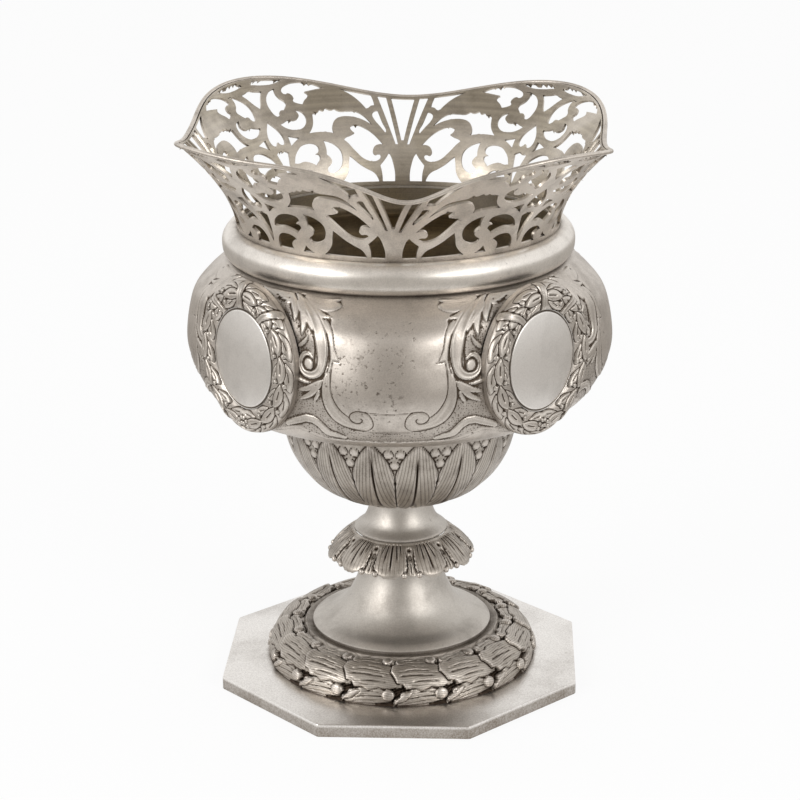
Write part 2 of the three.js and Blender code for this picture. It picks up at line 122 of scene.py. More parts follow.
def smoothByAngle(piece, degrees):
    takeUp(piece)
    bpy.ops.object.shade_smooth_by_angle(angle=math.radians(degrees))


def applyModifier(piece, kind, **settings):
    takeUp(piece)
    modifier = piece.modifiers.new(kind.lower(), kind)
    for key, value in settings.items():
        setattr(modifier, key, value)
    bpy.ops.object.modifier_apply(modifier=modifier.name)


def markPoints(piece, mark, values):
    attribute = piece.data.attributes.new(mark, "FLOAT", "POINT")
    attribute.data.foreach_set("value", np.broadcast_to(values, len(piece.data.vertices)).astype(np.float32))


def shadeAndHighlightByHeight(piece, heights, values):
    # painted shade and highlight, carried by the wear mark, that change only with the height in mm
    markPoints(piece, "wear", np.interp([point.co.z / mm for point in piece.data.vertices], heights, values))


def handOver(piece, degrees, material, slot, *nodes):
    # shaded, given its material and handed to the frame in place of its CAD nodes
    smoothByAngle(piece, degrees)
    if "wear" not in piece.data.attributes:
        markPoints(piece, "wear", levelWear)
    piece.data.materials.clear()
    piece.data.materials.append(material)
    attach(piece, "root")
    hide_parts(*nodes)


def smoothLine(points, steps):
    # an even curve through a few given points
    points = np.array(points, float)
    last = len(points) - 1
    line = []
    for k in range(steps + 1):
        place = last * k / steps
        i = min(int(place), last - 1)
        w = place - i
        before, start, end, after = points[max(i - 1, 0)], points[i], points[i + 1], points[min(i + 2, last)]
        leave, arrive = (end - before) / 2, (after - start) / 2
        line.append(
            (2 * start - 2 * end + leave + arrive) * w**3
            + (-3 * start + 3 * end - 2 * leave - arrive) * w**2
            + leave * w
            + start
        )
    return np.array(line)


def lengthsAlong(line):
    return np.concatenate(([0.0], np.cumsum(np.hypot(*np.diff(line, axis=0).T))))


def pointsAt(line, lengths, at):
    return np.stack([np.interp(at, lengths, line[:, k]) for k in (0, 1)], -1)


def evenLine(line, spacing):
    lengths = lengthsAlong(line)
    count = max(2, round(lengths[-1] / spacing))
    return pointsAt(line, lengths, np.linspace(0, lengths[-1], count + 1))


def measured(line):
    # the line in very short even steps, and how far along it every point lies
    line = evenLine(line, shortStep)
    return line, lengthsAlong(line)


def lineNormals(line):
    run = np.gradient(line, axis=0)
    run /= np.maximum(np.hypot(run[:, 0], run[:, 1]), 1e-9)[:, None]
    return np.stack([run[:, 1], -run[:, 0]], -1)


def behind(line, wall):
    # the back of a sheet whose outline runs upwards with its outer side to the right
    back = line - lineNormals(line) * wall
    back[:, 0] = np.maximum(back[:, 0], 0)
    return back


def spinSection(name, section, steps):
    # a ring of points bent to the section's outline, then spun round the upright axis
    putDownAll()
    bpy.ops.mesh.primitive_circle_add(vertices=len(section), radius=0.01, location=(0, 0, 0))
    piece = named(bpy.context.object, name)
    for point, (radius, height) in zip(piece.data.vertices, section):
        point.co = (radius * mm, 0, height * mm)
    openUp(piece)
    bpy.ops.mesh.spin(steps=steps, angle=2 * math.pi, center=(0, 0, 0), axis=(0, 0, 1))
    closeUp()
    weld(piece)
    return piece


def pointsOf(piece):
    flat = np.empty(len(piece.data.vertices) * 3)
    piece.data.vertices.foreach_get("co", flat)
    return flat.reshape(-1, 3)


def movePoints(piece, places):
    piece.data.vertices.foreach_set("co", (places * mm).ravel())
    piece.data.update()


def layGrid(name, places, marks):
    # a flat grid with a point for every entry of places, then each point goes to its place
    columns, rows = places.shape[:2]
    putDownAll()
    bpy.ops.mesh.primitive_grid_add(x_subdivisions=columns - 1, y_subdivisions=rows - 1, size=1, location=(0, 0, 0))
    piece = named(bpy.context.object, name)
    flat = pointsOf(piece) + 0.5
    i = np.rint(flat[:, 0] * (columns - 1)).astype(int)
    j = np.rint(flat[:, 1] * (rows - 1)).astype(int)
    movePoints(piece, places[i, j])
    for mark, values in marks.items():
        markPoints(piece, mark, values[i, j])
    return piece


def turned(azimuths, radius, height):
    angle = np.radians(azimuths)[:, None]
    return np.stack([radius * np.sin(angle), -radius * np.cos(angle), height], -1)


def roundThe(azimuths, line, normals=None, relief=None, recess=0):
    # points on a turned sheet: relief in mm along its normal, recess in mm towards the axis
    if relief is None:
        normals, relief = 0 * line, np.zeros((len(azimuths), len(line)))
    radius = line[None, :, 0] + normals[None, :, 0] * relief - recess
    return turned(azimuths, radius, line[None, :, 1] + normals[None, :, 1] * relief)


def wrapped(front, *backs):
    # the front, what lies behind it and the front's first column again, which closes the section
    return np.concatenate((front, *backs, front[:, :1]), axis=1)


def layShell(name, front, backs, marks):
    # a chased front and plain runs behind it: a mark has its values on the front, then one value for every run
    laid = {
        mark: wrapped(values, *(np.full(run.shape[:2], float(even)) for run, even in zip(backs, evens)))
        for mark, (values, *evens) in marks.items()
    }
    return layGrid(name, wrapped(front, *backs), laid)


def blurred(height, reach, wraps=False):
    # a soft mean over reach grid steps each way
    soft = height
    for axis in (0, 1):
        mode = "wrap" if wraps and axis == 0 else "edge"
        for _ in range(2):
            wide = [(0, 0), (0, 0)]
            wide[axis] = (reach, reach)
            padded = np.pad(soft, wide, mode=mode)
            sums = np.cumsum(np.insert(padded, 0, 0, axis=axis), axis=axis)
            count = 2 * reach + 1
            after = np.take(sums, range(count, sums.shape[axis]), axis)
            before = np.take(sums, range(0, sums.shape[axis] - count), axis)
            soft = (after - before) / count
    return soft


def wearOf(height, reach, depth, wraps=False):
    # 0 in the bottom of a cut, 0.5 on level ground and 1 on a ridge that hands and cloths polish
    return np.clip(levelWear + (height - blurred(height, reach, wraps)) / depth, 0, 1)


# Chasing: the tools cut and raise a sheet of points, all in mm. x runs round the vase and y up the sheet
def sheetOf(x, y):
    x, y = np.broadcast_arrays(x, y)
    return {"x": x, "y": y, "h": np.zeros(x.shape)}


def drawn(points, steps=0):
    return smoothLine(points, steps) if steps else np.array(points, float)


def follow(sheet, line, reach):
    # for the points near a line: how far along it they lie, how far aside, and its length
    line = np.array(line, float)
    low, high = line.min(0) - reach, line.max(0) + reach
    near = (sheet["x"] > low[0]) & (sheet["x"] < high[0]) & (sheet["y"] > low[1]) & (sheet["y"] < high[1])
    px, py = sheet["x"][near], sheet["y"][near]
    lengths = lengthsAlong(line)
    best, along, aside = np.full(px.shape, 1e9), np.zeros(px.shape), np.zeros(px.shape)
    for k in range(len(line) - 1):
        step = max(lengths[k + 1] - lengths[k], 1e-9)
        dx, dy = (line[k + 1] - line[k]) / step
        t = np.clip((px - line[k, 0]) * dx + (py - line[k, 1]) * dy, 0, step)
        ox, oy = px - line[k, 0] - t * dx, py - line[k, 1] - t * dy
        gap = np.hypot(ox, oy)
        closer = gap < best
        best[closer] = gap[closer]
        along[closer] = (lengths[k] + t)[closer]
        aside[closer] = (gap * np.where(dx * oy - dy * ox < 0, -1, 1))[closer]
    return near, along / lengths[-1], aside, lengths[-1]


def fade(value, start, end):
    share = np.clip((value - start) / (end - start), 0, 1)
    return share * share * (3 - 2 * share)


def cutLine(sheet, line, width, depth, taper=0.8):
    near, along, aside, length = follow(sheet, line, width * 3)
    ends = fade(np.minimum(along, 1 - along) * length, -0.1, taper) if taper else 1
    sheet["h"][near] -= depth * np.exp(-((aside / width) ** 2)) * ends


def raiseLeaf(sheet, spine, halfWidth, rise, crown, rib, veins, blunt, widest, edge=0.12):
    # a leaf lies on the sheet from its stalk to its tip, and climbs by rise, so that the next one tucks under it
    near, along, aside, length = follow(sheet, spine, halfWidth * 1.3)
    outline = halfWidth * np.clip(np.sin(math.pi * np.clip(along, 0.001, 0.999) ** widest), 0, 1) ** blunt
    across = np.abs(aside) / np.maximum(outline, 1e-3)
    level = rise[0] + (rise[1] - rise[0]) * along + crown * (1 - across**2)
    level -= rib * np.exp(-((aside / 0.2) ** 2)) * fade(along, 0.0, 0.12) * (1 - fade(along, 0.75, 0.98))
    if veins:
        slant = np.abs(aside) * 1.5 - along * length
        level -= 0.10 * (0.5 + 0.5 * np.cos(slant * 2 * math.pi / veins)) * fade(across, 0.1, 0.4)
    level -= edge * fade(across, 0.8, 1.0)
    on = (across < 1) & (along > 0) & (along < 1)
    height = sheet["h"][near]
    sheet["h"][near] = np.where(on, np.maximum(height, level), height)


def raiseBand(sheet, spine, widths, level, hollow, lip):
    # a scroll: rounded edges with a hollow between them
    near, along, aside, length = follow(sheet, spine, max(widths) * 1.2)
    half = np.interp(along, np.linspace(0, 1, len(widths)), widths)
    across = np.abs(aside) / half
    shape = level * (1 - fade(across, 1 - lip, 1.0) * 0.9) - hollow * (1 - fade(across, 0.15, 0.72))
    on = across < 1
    height = sheet["h"][near]
    sheet["h"][near] = np.where(on, np.maximum(height, shape), height)


def raiseBerry(sheet, x, y, radius, level, base, ring=0):
    gap = np.hypot(sheet["x"] - x, sheet["y"] - y)
    if ring:
        sheet["h"] -= ring * np.exp(-(((gap - radius * 1.08) / 0.17) ** 2))
    dome = base + level * np.sqrt(np.clip(1 - (gap / radius) ** 2, 0, 1))
    sheet["h"] = np.where(gap < radius, np.maximum(sheet["h"], dome), sheet["h"])


def within(sheet, outline):
    # which points lie inside a closed outline
    x, y = sheet["x"], sheet["y"]
    inside = np.zeros(x.shape, bool)
    corners = np.array(outline, float)
    for (ax, ay), (bx, by) in zip(corners, np.roll(corners, -1, axis=0)):
        if ay != by:
            inside ^= ((ay > y) != (by > y)) & (x < (bx - ax) * (y - ay) / (by - ay) + ax)
    return inside


def layLeaf(sheet, outline, ends, crown, edge, cut):
    # a flat leaf lies over what is there, at its own level at each end, with a thin line cut round it
    on = within(sheet, outline)
    left, right = outline[:, 0].min(), outline[:, 0].max()
    share = np.clip((sheet["x"] - left) / (right - left), 0, 1)
    low, high = outline[:, 1].min(), outline[:, 1].max()
    across = np.clip((sheet["y"] - low) / (high - low), 0, 1)
    level = ends[0] + (ends[1] - ends[0]) * share + crown * 4 * across * (1 - across)
    sheet["h"] = np.where(on, level, sheet["h"])
    cutLine(sheet, np.vstack((outline, outline[:1])), edge, cut, 0)


def laurelOutline(stalk, tip, halfWidth, fullest=0.55):
    # a bay leaf seen flat: narrow at the stalk, full past the middle, round-pointed at the tip
    stalk, tip = np.array(stalk, float), np.array(tip, float)
    along = np.linspace(0, 1, 15)
    width = halfWidth * np.sin(math.pi * along ** (math.log(0.5) / math.log(fullest))) ** 0.75
    run = tip - stalk
    side = np.array([-run[1], run[0]]) / np.hypot(*run)
    spine = stalk + along[:, None] * run
    return np.vstack((spine + width[:, None] * side, (spine - width[:, None] * side)[-2:0:-1]))


def punched(sheet, pitch, depth, seed):
    # matting: the ground is covered with small round punch marks
    dice = np.random.default_rng(seed)
    count = 400
    shift = dice.uniform(-0.32, 0.32, (count, count, 2))
    cx, cy = np.floor(sheet["x"] / pitch).astype(int), np.floor(sheet["y"] / pitch).astype(int)
    mark = np.zeros(sheet["h"].shape)
    for i in (-1, 0, 1):
        for j in (-1, 0, 1):
            jitter = shift[(cx + i) % count, (cy + j) % count]
            gx = sheet["x"] / pitch - (cx + i + 0.5 + jitter[..., 0])
            gy = sheet["y"] / pitch - (cy + j + 0.5 + jitter[..., 1])
            mark = np.maximum(mark, np.exp(-(gx**2 + gy**2) / 0.07))
    return depth * mark


print("plinth")
plinth = {
    "across": 120.0,
    "strip": 3.3,
    "wall": 2.0,
    # width in mm and steps of each rounding
    "corner": (0.65, 4),
    "topEdge": (0.3, 3),
    "footEdge": (0.3, 2),
    # how close to the top or the foot a corner counts as lying there
    "slack": 0.01,
    # the sides are painted greyer than the top, a painted reflection of the darker floor in front of them, with a
    # painted highlight, a bright line, along the edge between them
    "paintedShadeHeights": [0.0, 4.15, 4.3, 4.5],
    "wear": [0.24, 0.26, 0.8, 0.52],
}


def pickNothing(mesh):
    for part in (mesh.polygons, mesh.edges, mesh.vertices):
        part.foreach_set("select", [False] * len(part))


def easeEdges(piece, wanted, offset, segments):
    # bevels the edges whose two ends, in mm, pass the test
    mesh = piece.data
    pickNothing(mesh)
    for edge in mesh.edges:
        ends = [mesh.vertices[v] for v in edge.vertices]
        if wanted(ends[0].co / mm, ends[1].co / mm):
            edge.select = ends[0].select = ends[1].select = True
    takeUp(piece)
    bpy.context.tool_settings.mesh_select_mode = (False, True, False)
    bpy.ops.object.mode_set(mode="EDIT")
    bpy.ops.mesh.bevel(offset=offset * mm, segments=segments, profile=0.5, affect="EDGES")
    closeUp()


def octagonSlab(name, low, high):
    putDownAll()
    corner = plinth["across"] / 2 / math.cos(math.pi / 8)
    bpy.ops.mesh.primitive_cylinder_add(
        vertices=8, radius=corner * mm, depth=(high - low) * mm, location=(0, 0, (low + high) / 2 * mm)
    )
    piece = named(bpy.context.object, name)
    turnUpright(math.pi / 8)
    # the upright corners are rubbed round
    easeEdges(piece, lambda a, b: abs(a.z - b.z) > (high - low) / 2, *plinth["corner"])
    return piece


def plinthTopPlate():
    top = levels["plinthTop"]
    piece = octagonSlab("plinth_plate", plinth["strip"], top)
    easeEdges(piece, lambda a, b: min(a.z, b.z) > top - plinth["slack"], *plinth["topEdge"])
    return piece


def plinthStrip():
    # a strip bent round the octagon and soldered under the plate
    piece = octagonSlab("plinth_strip", 0, plinth["strip"])
    pickNothing(piece.data)
    for face in piece.data.polygons:
        face.select = abs(face.normal.z) > 0.9
    bpy.context.tool_settings.mesh_select_mode = (False, False, True)
    bpy.ops.object.mode_set(mode="EDIT")
    bpy.ops.mesh.delete(type="FACE")
    closeUp()
    applyModifier(piece, "SOLIDIFY", thickness=plinth["wall"] * mm, offset=-1, use_even_offset=True)
    outer = plinth["across"] / 2 - plinth["wall"] / 2

    def outerFoot(a, b):
        return max(a.z, b.z) < plinth["slack"] and min(a.xy.length, b.xy.length) > outer

    easeEdges(piece, outerFoot, *plinth["footEdge"])
    return piece


print("foot and stem")
foot = {
    "edge": [(30.7, 16.1), (30.7, 17.15), (30.35, 17.5)],
    "rise": [
        (30.35, 17.5), (28.43, 18.63), (24.05, 20.32), (19.5, 24.27), (16.53, 29.34), (14.6, 34.14),
        (13.55, 38.93), (13.2, 45.7), (13.2, 49.7),
    ],
    "wall": 0.7,
    "steps": 60,
    "turns": 144,
}
stem = {
    "edge": [(15.75, 50.45), (15.9, 50.75), (15.9, 51.15), (15.6, 51.45)],
    "rise": [(15.6, 51.45), (13.10, 53.52), (11.56, 56.17), (10.68, 59.35), (10.4, 62), (10.4, 63)],
    "wall": 0.7,
    "steps": 44,
    "turns": 120,
}


def sheetRing(name, part):
    outer = np.vstack((part["edge"][:-1], smoothLine(part["rise"], part["steps"])))
    inner = behind(outer, part["wall"])
    for end in (0, -1):
        inner[end] = (outer[end, 0] - part["wall"], outer[end, 1])
    return spinSection(name, np.vstack((outer, inner[::-1])), part["turns"])


print("leaf collar")
collar = {
    "leaves": 10,
    "outline": [(15.9, 50.4), (18.35, 49.2), (21.2, 46.9), (23.7, 44.2), (24.9, 42.2), (25, 40.9)],
    "turn": 6.5,
    # radius, mm from the axis, mm up, share of the half sector, wear
    "berry": (1.05, 24.2, 42, 0.66, 0.75),
    # share of the half sector, width, depth, share of the length
    "grooves": [
        (0, 0.3, 0.6, 0.84), (0.3, 0.24, 0.5, 0.6), (-0.3, 0.24, 0.5, 0.6), (0.55, 0.2, 0.4, 0.45),
        (-0.55, 0.2, 0.4, 0.45),
    ],
    # share of the length in the leaf's middle, how much less beside it, share of the half sector, power
    "broadTip": (1, 0.28, 0.74, 2.6),
    "smallTip": (0.965, 0.30, 0.40, 1.7),
    # share of the length, waves
    "frill": (0.012, 26),
    # share of the length, width, height
    "drops": [(0.2, 0.6, 0.7), (0.42, 0.5, 1.1)],
    "dropDepth": 0.75,
    # width, depth
    "leafLine": (0.24, 0.4),
    # relief of this height lies on the outline
    "base": 0.9,
    "columns": 64,
    "rows": 60,
    "thick": 1.4,
    "wear": (4, 0.9),
    "backWear": 0.3,
}


def leafCollar():
    outer, lengths = measured(smoothLine(collar["outline"], 60))
    full = lengths[-1]
    halfSector = 180 / collar["leaves"]
    azimuths = np.linspace(-halfSector, halfSector, collar["columns"] + 1)
    # q runs from -1 to 1 across one broad leaf with half a small one at each side
    q = azimuths[:, None] / halfSector
    aq = np.abs(q)
    # the lower edge follows the leaf tips
    long, less, wide, power = collar["broadTip"]
    frill, waves = collar["frill"]
    broadTip = long - less * np.clip(aq / wide, 0, 1) ** power + frill * np.cos(aq * waves)
    long, less, wide, power = collar["smallTip"]
    smallTip = long - less * np.clip((1 - aq) / wide, 0, 1.2) ** power
    reach = np.maximum(broadTip, smallTip)
    share = np.linspace(0, 1, collar["rows"] + 1)
    s = share[None, :] * reach * full
    radius, height = np.moveaxis(pointsAt(outer, lengths, s), -1, 0)
    nr, nz = np.moveaxis(pointsAt(lineNormals(outer) * -1, lengths, s), -1, 0)
    part = s / full
    # broad leaf: nearly flat, its tip turned out a little and its edge rolled down
    halfBroad = 0.62 + 0.2 * np.sin(np.clip(part, 0, 1) * math.pi * 0.72) - 0.34 * fade(part, 0.7, 1.0)
    halfBroad = halfBroad + 0.018 * np.sin(s * 4.2) * fade(part, 0.5, 0.6)
    onBroad = aq < halfBroad
    broad = 0.8 - 0.25 * (aq / halfBroad) ** 4 + 0.35 * fade(part, 0.74, 0.98) * (1 - (aq / halfBroad) ** 2)
    small = 0.55 - 0.7 * fade(part, 0.08, 0.42) + 0.35 * (1 - ((1 - aq) / 0.42) ** 2) * fade(part, 0.35, 0.6)
    h = np.where(onBroad, broad, small)
    arc = halfSector * math.pi / 180 * radius
    # midrib and side grooves fan out from the top and fade towards the tip
    for rib, width, depth, end in collar["grooves"]:
        across = (q - rib * (0.8 + 0.5 * part)) * arc / (width * (1.25 - 0.6 * part))
        ends = fade(part, 0.02, 0.08) * (1 - fade(part, end - 0.22, end))
        h -= depth * np.exp(-(across**2)) * ends * onBroad
    # the broad leaf's edge and the small leaf's rib are thin dark lines
    width, depth = collar["leafLine"]
    h -= depth * np.exp(-(((aq - halfBroad) * arc / width) ** 2)) * fade(part, 0.42, 0.5)
    h -= depth * np.exp(-(((1 - aq) * arc / width) ** 2)) * fade(part, 0.5, 0.6) * (1 - fade(part, 0.8, 0.92))
    # dark drops above each small leaf
    for at, wide, high in collar["drops"]:
        h -= collar["dropDepth"] * np.exp(-(((1 - aq) * arc / wide) ** 2) - (((s - at * full) / high) ** 2))
    veins = q * (4.5 + 1.2 * part)
    veined = 0.75 * fade(part, 0.04, 0.12) * (1 - fade(part, 0.8, 0.95))
    # a little less wear all over, and a painted highlight along the lower edge of the leaf tips
    wear = wearOf(h, *collar["wear"]) - 0.1 + 0.16 * fade(s / (reach * full), 0.93, 0.98)
    lift = (h - collar["base"]) * fade(part, 0.0, 0.08)
    thick = collar["thick"]
    front = turned(azimuths, radius + nr * lift, height + nz * lift)
    back = turned(azimuths, radius - nr * thick, height - nz * thick)[:, ::-1]
    marks = {"wear": (wear, collar["backWear"]), "veins": (veins, 0), "veined": (veined, 0)}
    piece = layShell("leaf_knop", front, [back], marks)
    berries = []
    size, out, up, aside, berryWear = collar["berry"]
    for side in (-aside, aside):
        turn = math.radians(side * halfSector)
        putDownAll()
        bpy.ops.mesh.primitive_uv_sphere_add(
            segments=14, ring_count=8, radius=size * mm,
            location=(out * math.sin(turn) * mm, -out * math.cos(turn) * mm, up * mm),
        )
        keepTurns()
        berries.append(bpy.context.object)
        markPoints(berries[-1], "wear", berryWear)
    takeUp(piece, *berries)
    bpy.ops.object.join()
    turnUpright(math.radians(collar["turn"]))
    return ringOfCopies(piece, collar["leaves"])


print("foot border")
border = {
    "outline": [(46, 4.52), (46.3, 5.75), (45.99, 9), (44.03, 13), (40.02, 16), (36, 17), (33, 16.6)],
    "back": [(28.3, 14.2), (34.5, 13.9), (40.5, 11.4), (43.8, 7), (44.2, 4.52)],
    "seat": [(32, 16.08), (28.3, 16.05)],
    "repeats": 16,
    "firstBerry": -3,
    "girth": 43,
    "columns": 72,
    "rows": 76,
    "ground": -1.35,
    "lineEvery": 0.75,
    # height of a leaf's crown, width and depth of the line cut round it
    "leaf": (0.25, 0.24, 0.42),
    # a berry's ground is cleared out to this many radii and this far below its level, then its dome's height
    # and how far below its level the dome starts
    "berry": (1.3, 0.8, 0.6, 0.55),
    # steps, width, depth and taper of the stalks, before and after the leaves, and of a leaf's grooves
    "stalk": (8, 0.2, 0.45, 0.4),
    "stalkAgain": (8, 0.2, 0.4, 0.4),
    "groove": (10, 1.4),
    # ground below this level is brown: how bright low down, how much more above, and between which heights
    "brownBelow": -1.1,
    "brown": (0.17, 0.22, 12, 15),
    # reach in grid steps and depth in mm that the wear is reckoned from
    "wear": (4, 1.1),
    "backWear": 0.3,
}

# One repeat of the border, traced: degrees from the low berry, mm up the swell
spray = {
    # name: outline, level at its left end and right end
    "lowLeaf": ([
        (2, 1), (2.6, 2.6), (4.4, 3.2), (5.6, 5), (8.6, 5.6), (11, 6.9), (17, 7.3), (22.4, 6.2), (25.4, 3.8),
        (24, 1.2), (16, 0.15), (8, 0.1), (4, 0.25),
    ], (0.15, -0.95)),
    "foldedLeaf": ([
        (2.4, 0.2), (4.2, 1.2), (7, 2), (10.4, 4.6), (9.6, 5.6), (6.8, 4.7), (4.4, 3.1), (2.8, 2),
    ], (0.35, 0)),
    "bigLeaf": ([
        (0.6, 12), (1.2, 14.4), (3.2, 15.4), (6, 15), (9, 16.5), (15, 16.4), (22, 15.2), (29, 12.8), (32, 9.4),
        (28, 6.6), (21.6, 5.7), (18.4, 6.5), (14, 5.2), (11.4, 6.3), (7.6, 6), (6.2, 7.7), (3.6, 8), (2.6, 9.9),
    ], (0.35, -0.95)),
    "highLeaf": ([
        (2.4, 16.6), (3.2, 18.9), (5.8, 18.6), (8.4, 20.2), (13, 19.8), (17, 20.4), (19.4, 18.2), (18, 15.6),
        (10, 14.4), (4, 14.8),
    ], (-0.3, -0.85)),
    "topLeaf": ([(-7, 17.6), (-5.4, 20.3), (-2, 20.5), (1.6, 19.8), (2.4, 17), (-2.4, 15.6)], (-0.7, -1.05)),
}
# line along the leaf, width, depth
sprayGrooves = {
    "lowLeaf": [
        ([(7.6, 2.4), (13, 3.2), (20.6, 3.4)], 0.24, 0.5), ([(11, 4.9), (15.6, 5), (20.6, 4.4)], 0.18, 0.36),
        ([(7, 1), (12, 1.5), (18.5, 1.9)], 0.17, 0.34), ([(10, 3.7), (13, 4), (16.5, 4.1)], 0.14, 0.26),
    ],
    "bigLeaf": [
        ([(4.4, 10.4), (11, 10.9), (20.8, 10.5)], 0.25, 0.52), ([(10, 8.4), (15, 8.7), (22.5, 8.4)], 0.2, 0.42),
        ([(4.6, 9), (7.6, 8.3), (10.8, 8.2)], 0.16, 0.3), ([(6.6, 12.3), (12, 12.9), (19.5, 12.3)], 0.2, 0.4),
        ([(15, 11.6), (19, 11.7), (23.5, 11.2)], 0.14, 0.28),
        ([(8, 7.2), (12.5, 7.3), (17.5, 7.5)], 0.15, 0.28),
        ([(10, 14.2), (14, 14.2), (19, 13.6)], 0.15, 0.26),
        ([(3.4, 12.2), (6, 12), (9, 11.9)], 0.13, 0.24),
    ],
    "highLeaf": [
        ([(4.5, 17), (10, 17.9), (16.5, 18.2)], 0.22, 0.4), ([(7, 19), (10.5, 19.2), (14.5, 19)], 0.16, 0.3),
    ],
}
sprayStalks = [
    [(0.6, 5.4), (3, 6.6), (6, 7.2)], [(1.6, 4.8), (4.2, 5.8), (7.2, 6.5)], [(2.2, 4), (4.8, 5), (7.6, 5.7)],
]
# degrees, mm up the swell, radius, level
sprayBerries = [(0, 4, 1.95, 0.5), (-1.6, 17.6, 1.95, 0.15)]


def leafBorder():
    # struck border: two rows of flat bay leaves that overlap towards the left, with berries between them
    outer, lengths = measured(smoothLine(border["outline"], 80))
    full = lengths[-1]
    s = np.linspace(0, full, border["rows"] + 1)
    line = pointsAt(outer, lengths, s)
    sector = 360 / border["repeats"]
    azimuths = np.linspace(0, sector, border["columns"] + 1)
    perDegree = border["girth"] * math.pi / 180
    sheet = sheetOf(azimuths[:, None] * perDegree, s[None, :])
    sheet["h"] += border["ground"]
    # the sheet is one repeat wide, and what reaches in from the next ones is drawn as well
    turns = range(-2, 3)

    def placed(points, k, steps=0):
        return (drawn(points, steps) + [k * sector, 0]) * [perDegree, 1]

    def cutStalks(stalks, k, steps, *cut):
        for stalk in stalks:
            cutLine(sheet, placed(stalk, k, steps), *cut)

    for k in turns:
        cutStalks(sprayStalks, k, *border["stalk"])
    grooveSteps, grooveTaper = border["groove"]
    for name in ("topLeaf", "highLeaf", "lowLeaf", "foldedLeaf", "bigLeaf"):
        outline, ends = spray[name]
        for k in turns:
            layLeaf(sheet, placed(outline, k), ends, *border["leaf"])
            for groove, wide, deep in sprayGrooves.get(name, []):
                cutLine(sheet, placed(groove, k, grooveSteps), wide, deep, grooveTaper)
    clear, moat, dome, sunk = border["berry"]
    for k in turns:
        cutStalks(sprayStalks[:2], k, *border["stalkAgain"])
        for at, up, size, level in sprayBerries:
            x, y = placed([(at, up)], k)[0]
            gap = np.hypot(sheet["x"] - x, sheet["y"] - y)
            sheet["h"] = np.where(gap < size * clear, np.minimum(sheet["h"], level - moat), sheet["h"])
            raiseBerry(sheet, x, y, size, dome, level - sunk)
    h = sheet["h"]
    h[-1] = h[0]
    # the ground is brown, blackest low down between the stalks
    low, more, start, end = border["brown"]
    brown = low + more * fade(s, start, end)
    wear = wearOf(h, *border["wear"])
    wear = np.where(h < border["brownBelow"], np.minimum(wear, brown[None, :]), wear)
    wear[-1] = wear[0]
    h *= fade(s, 0.0, 0.5)[None, :]
    h *= (1 - fade(s, full - 0.8, full))[None, :]
    bend = np.sin(azimuths[:, None] * 2 * math.pi / sector)
    veins = (sheet["y"] + 0.5 * bend) / border["lineEvery"]
    veined = 0.7 * fade(h, border["brownBelow"], -0.95)
    azimuths = azimuths + border["firstBerry"]
    front = roundThe(azimuths, line, lineNormals(line), h)
    back = roundThe(azimuths, np.vstack((border["seat"], border["back"])))
    marks = {"wear": (wear, border["backWear"]), "veins": (veins, 0), "veined": (veined, 0)}
    return ringOfCopies(layShell("foot_border", front, [back], marks), border["repeats"])


print("bowl")
bowl = {
    "outline": [
        (10.4, 63), (11.61, 63), (18.86, 64.38), (26.41, 68), (32.3, 73.35), (36.67, 80.59), (39.09, 88.53),
        (40.3, 94.39), (40.6, 96.5), (40.6, 97.5),
    ],
    "leaves": 16,
    "columns": 52,
    "rows": 84,
    "thick": 1.15,
    "floor": [(0, 63.05), (10, 63.05), (10, 63.85), (0, 63.85)],
    "floorTurns": 48,
    # ends of the inner side
    "innerFoot": (9.7, 63.9),
    "innerTop": 97.5,
    "wear": (3, 0.7),
    "backWear": 0.35,
    # radius, then height of the dome, its base and the ring round it
    "berry": (1.5, 0.14, 0.2, 0.42),
    # mm from the line between two leaves, share of the height
    "berries": [(0, 0.772), (2, 0.855)],
    # shares of the height where the leaves part and where they end
    "parting": 0.65,
    "tip": 0.925,
    # width and depth of the line round a leaf's tip and of the one between two leaves,
    # then width, height and depth of the drilled dot where they part
    "leafLine": (0.26, 0.42),
    "seam": (0.24, 0.42),
    "dot": (0.5, 0.6, 0.7),
}


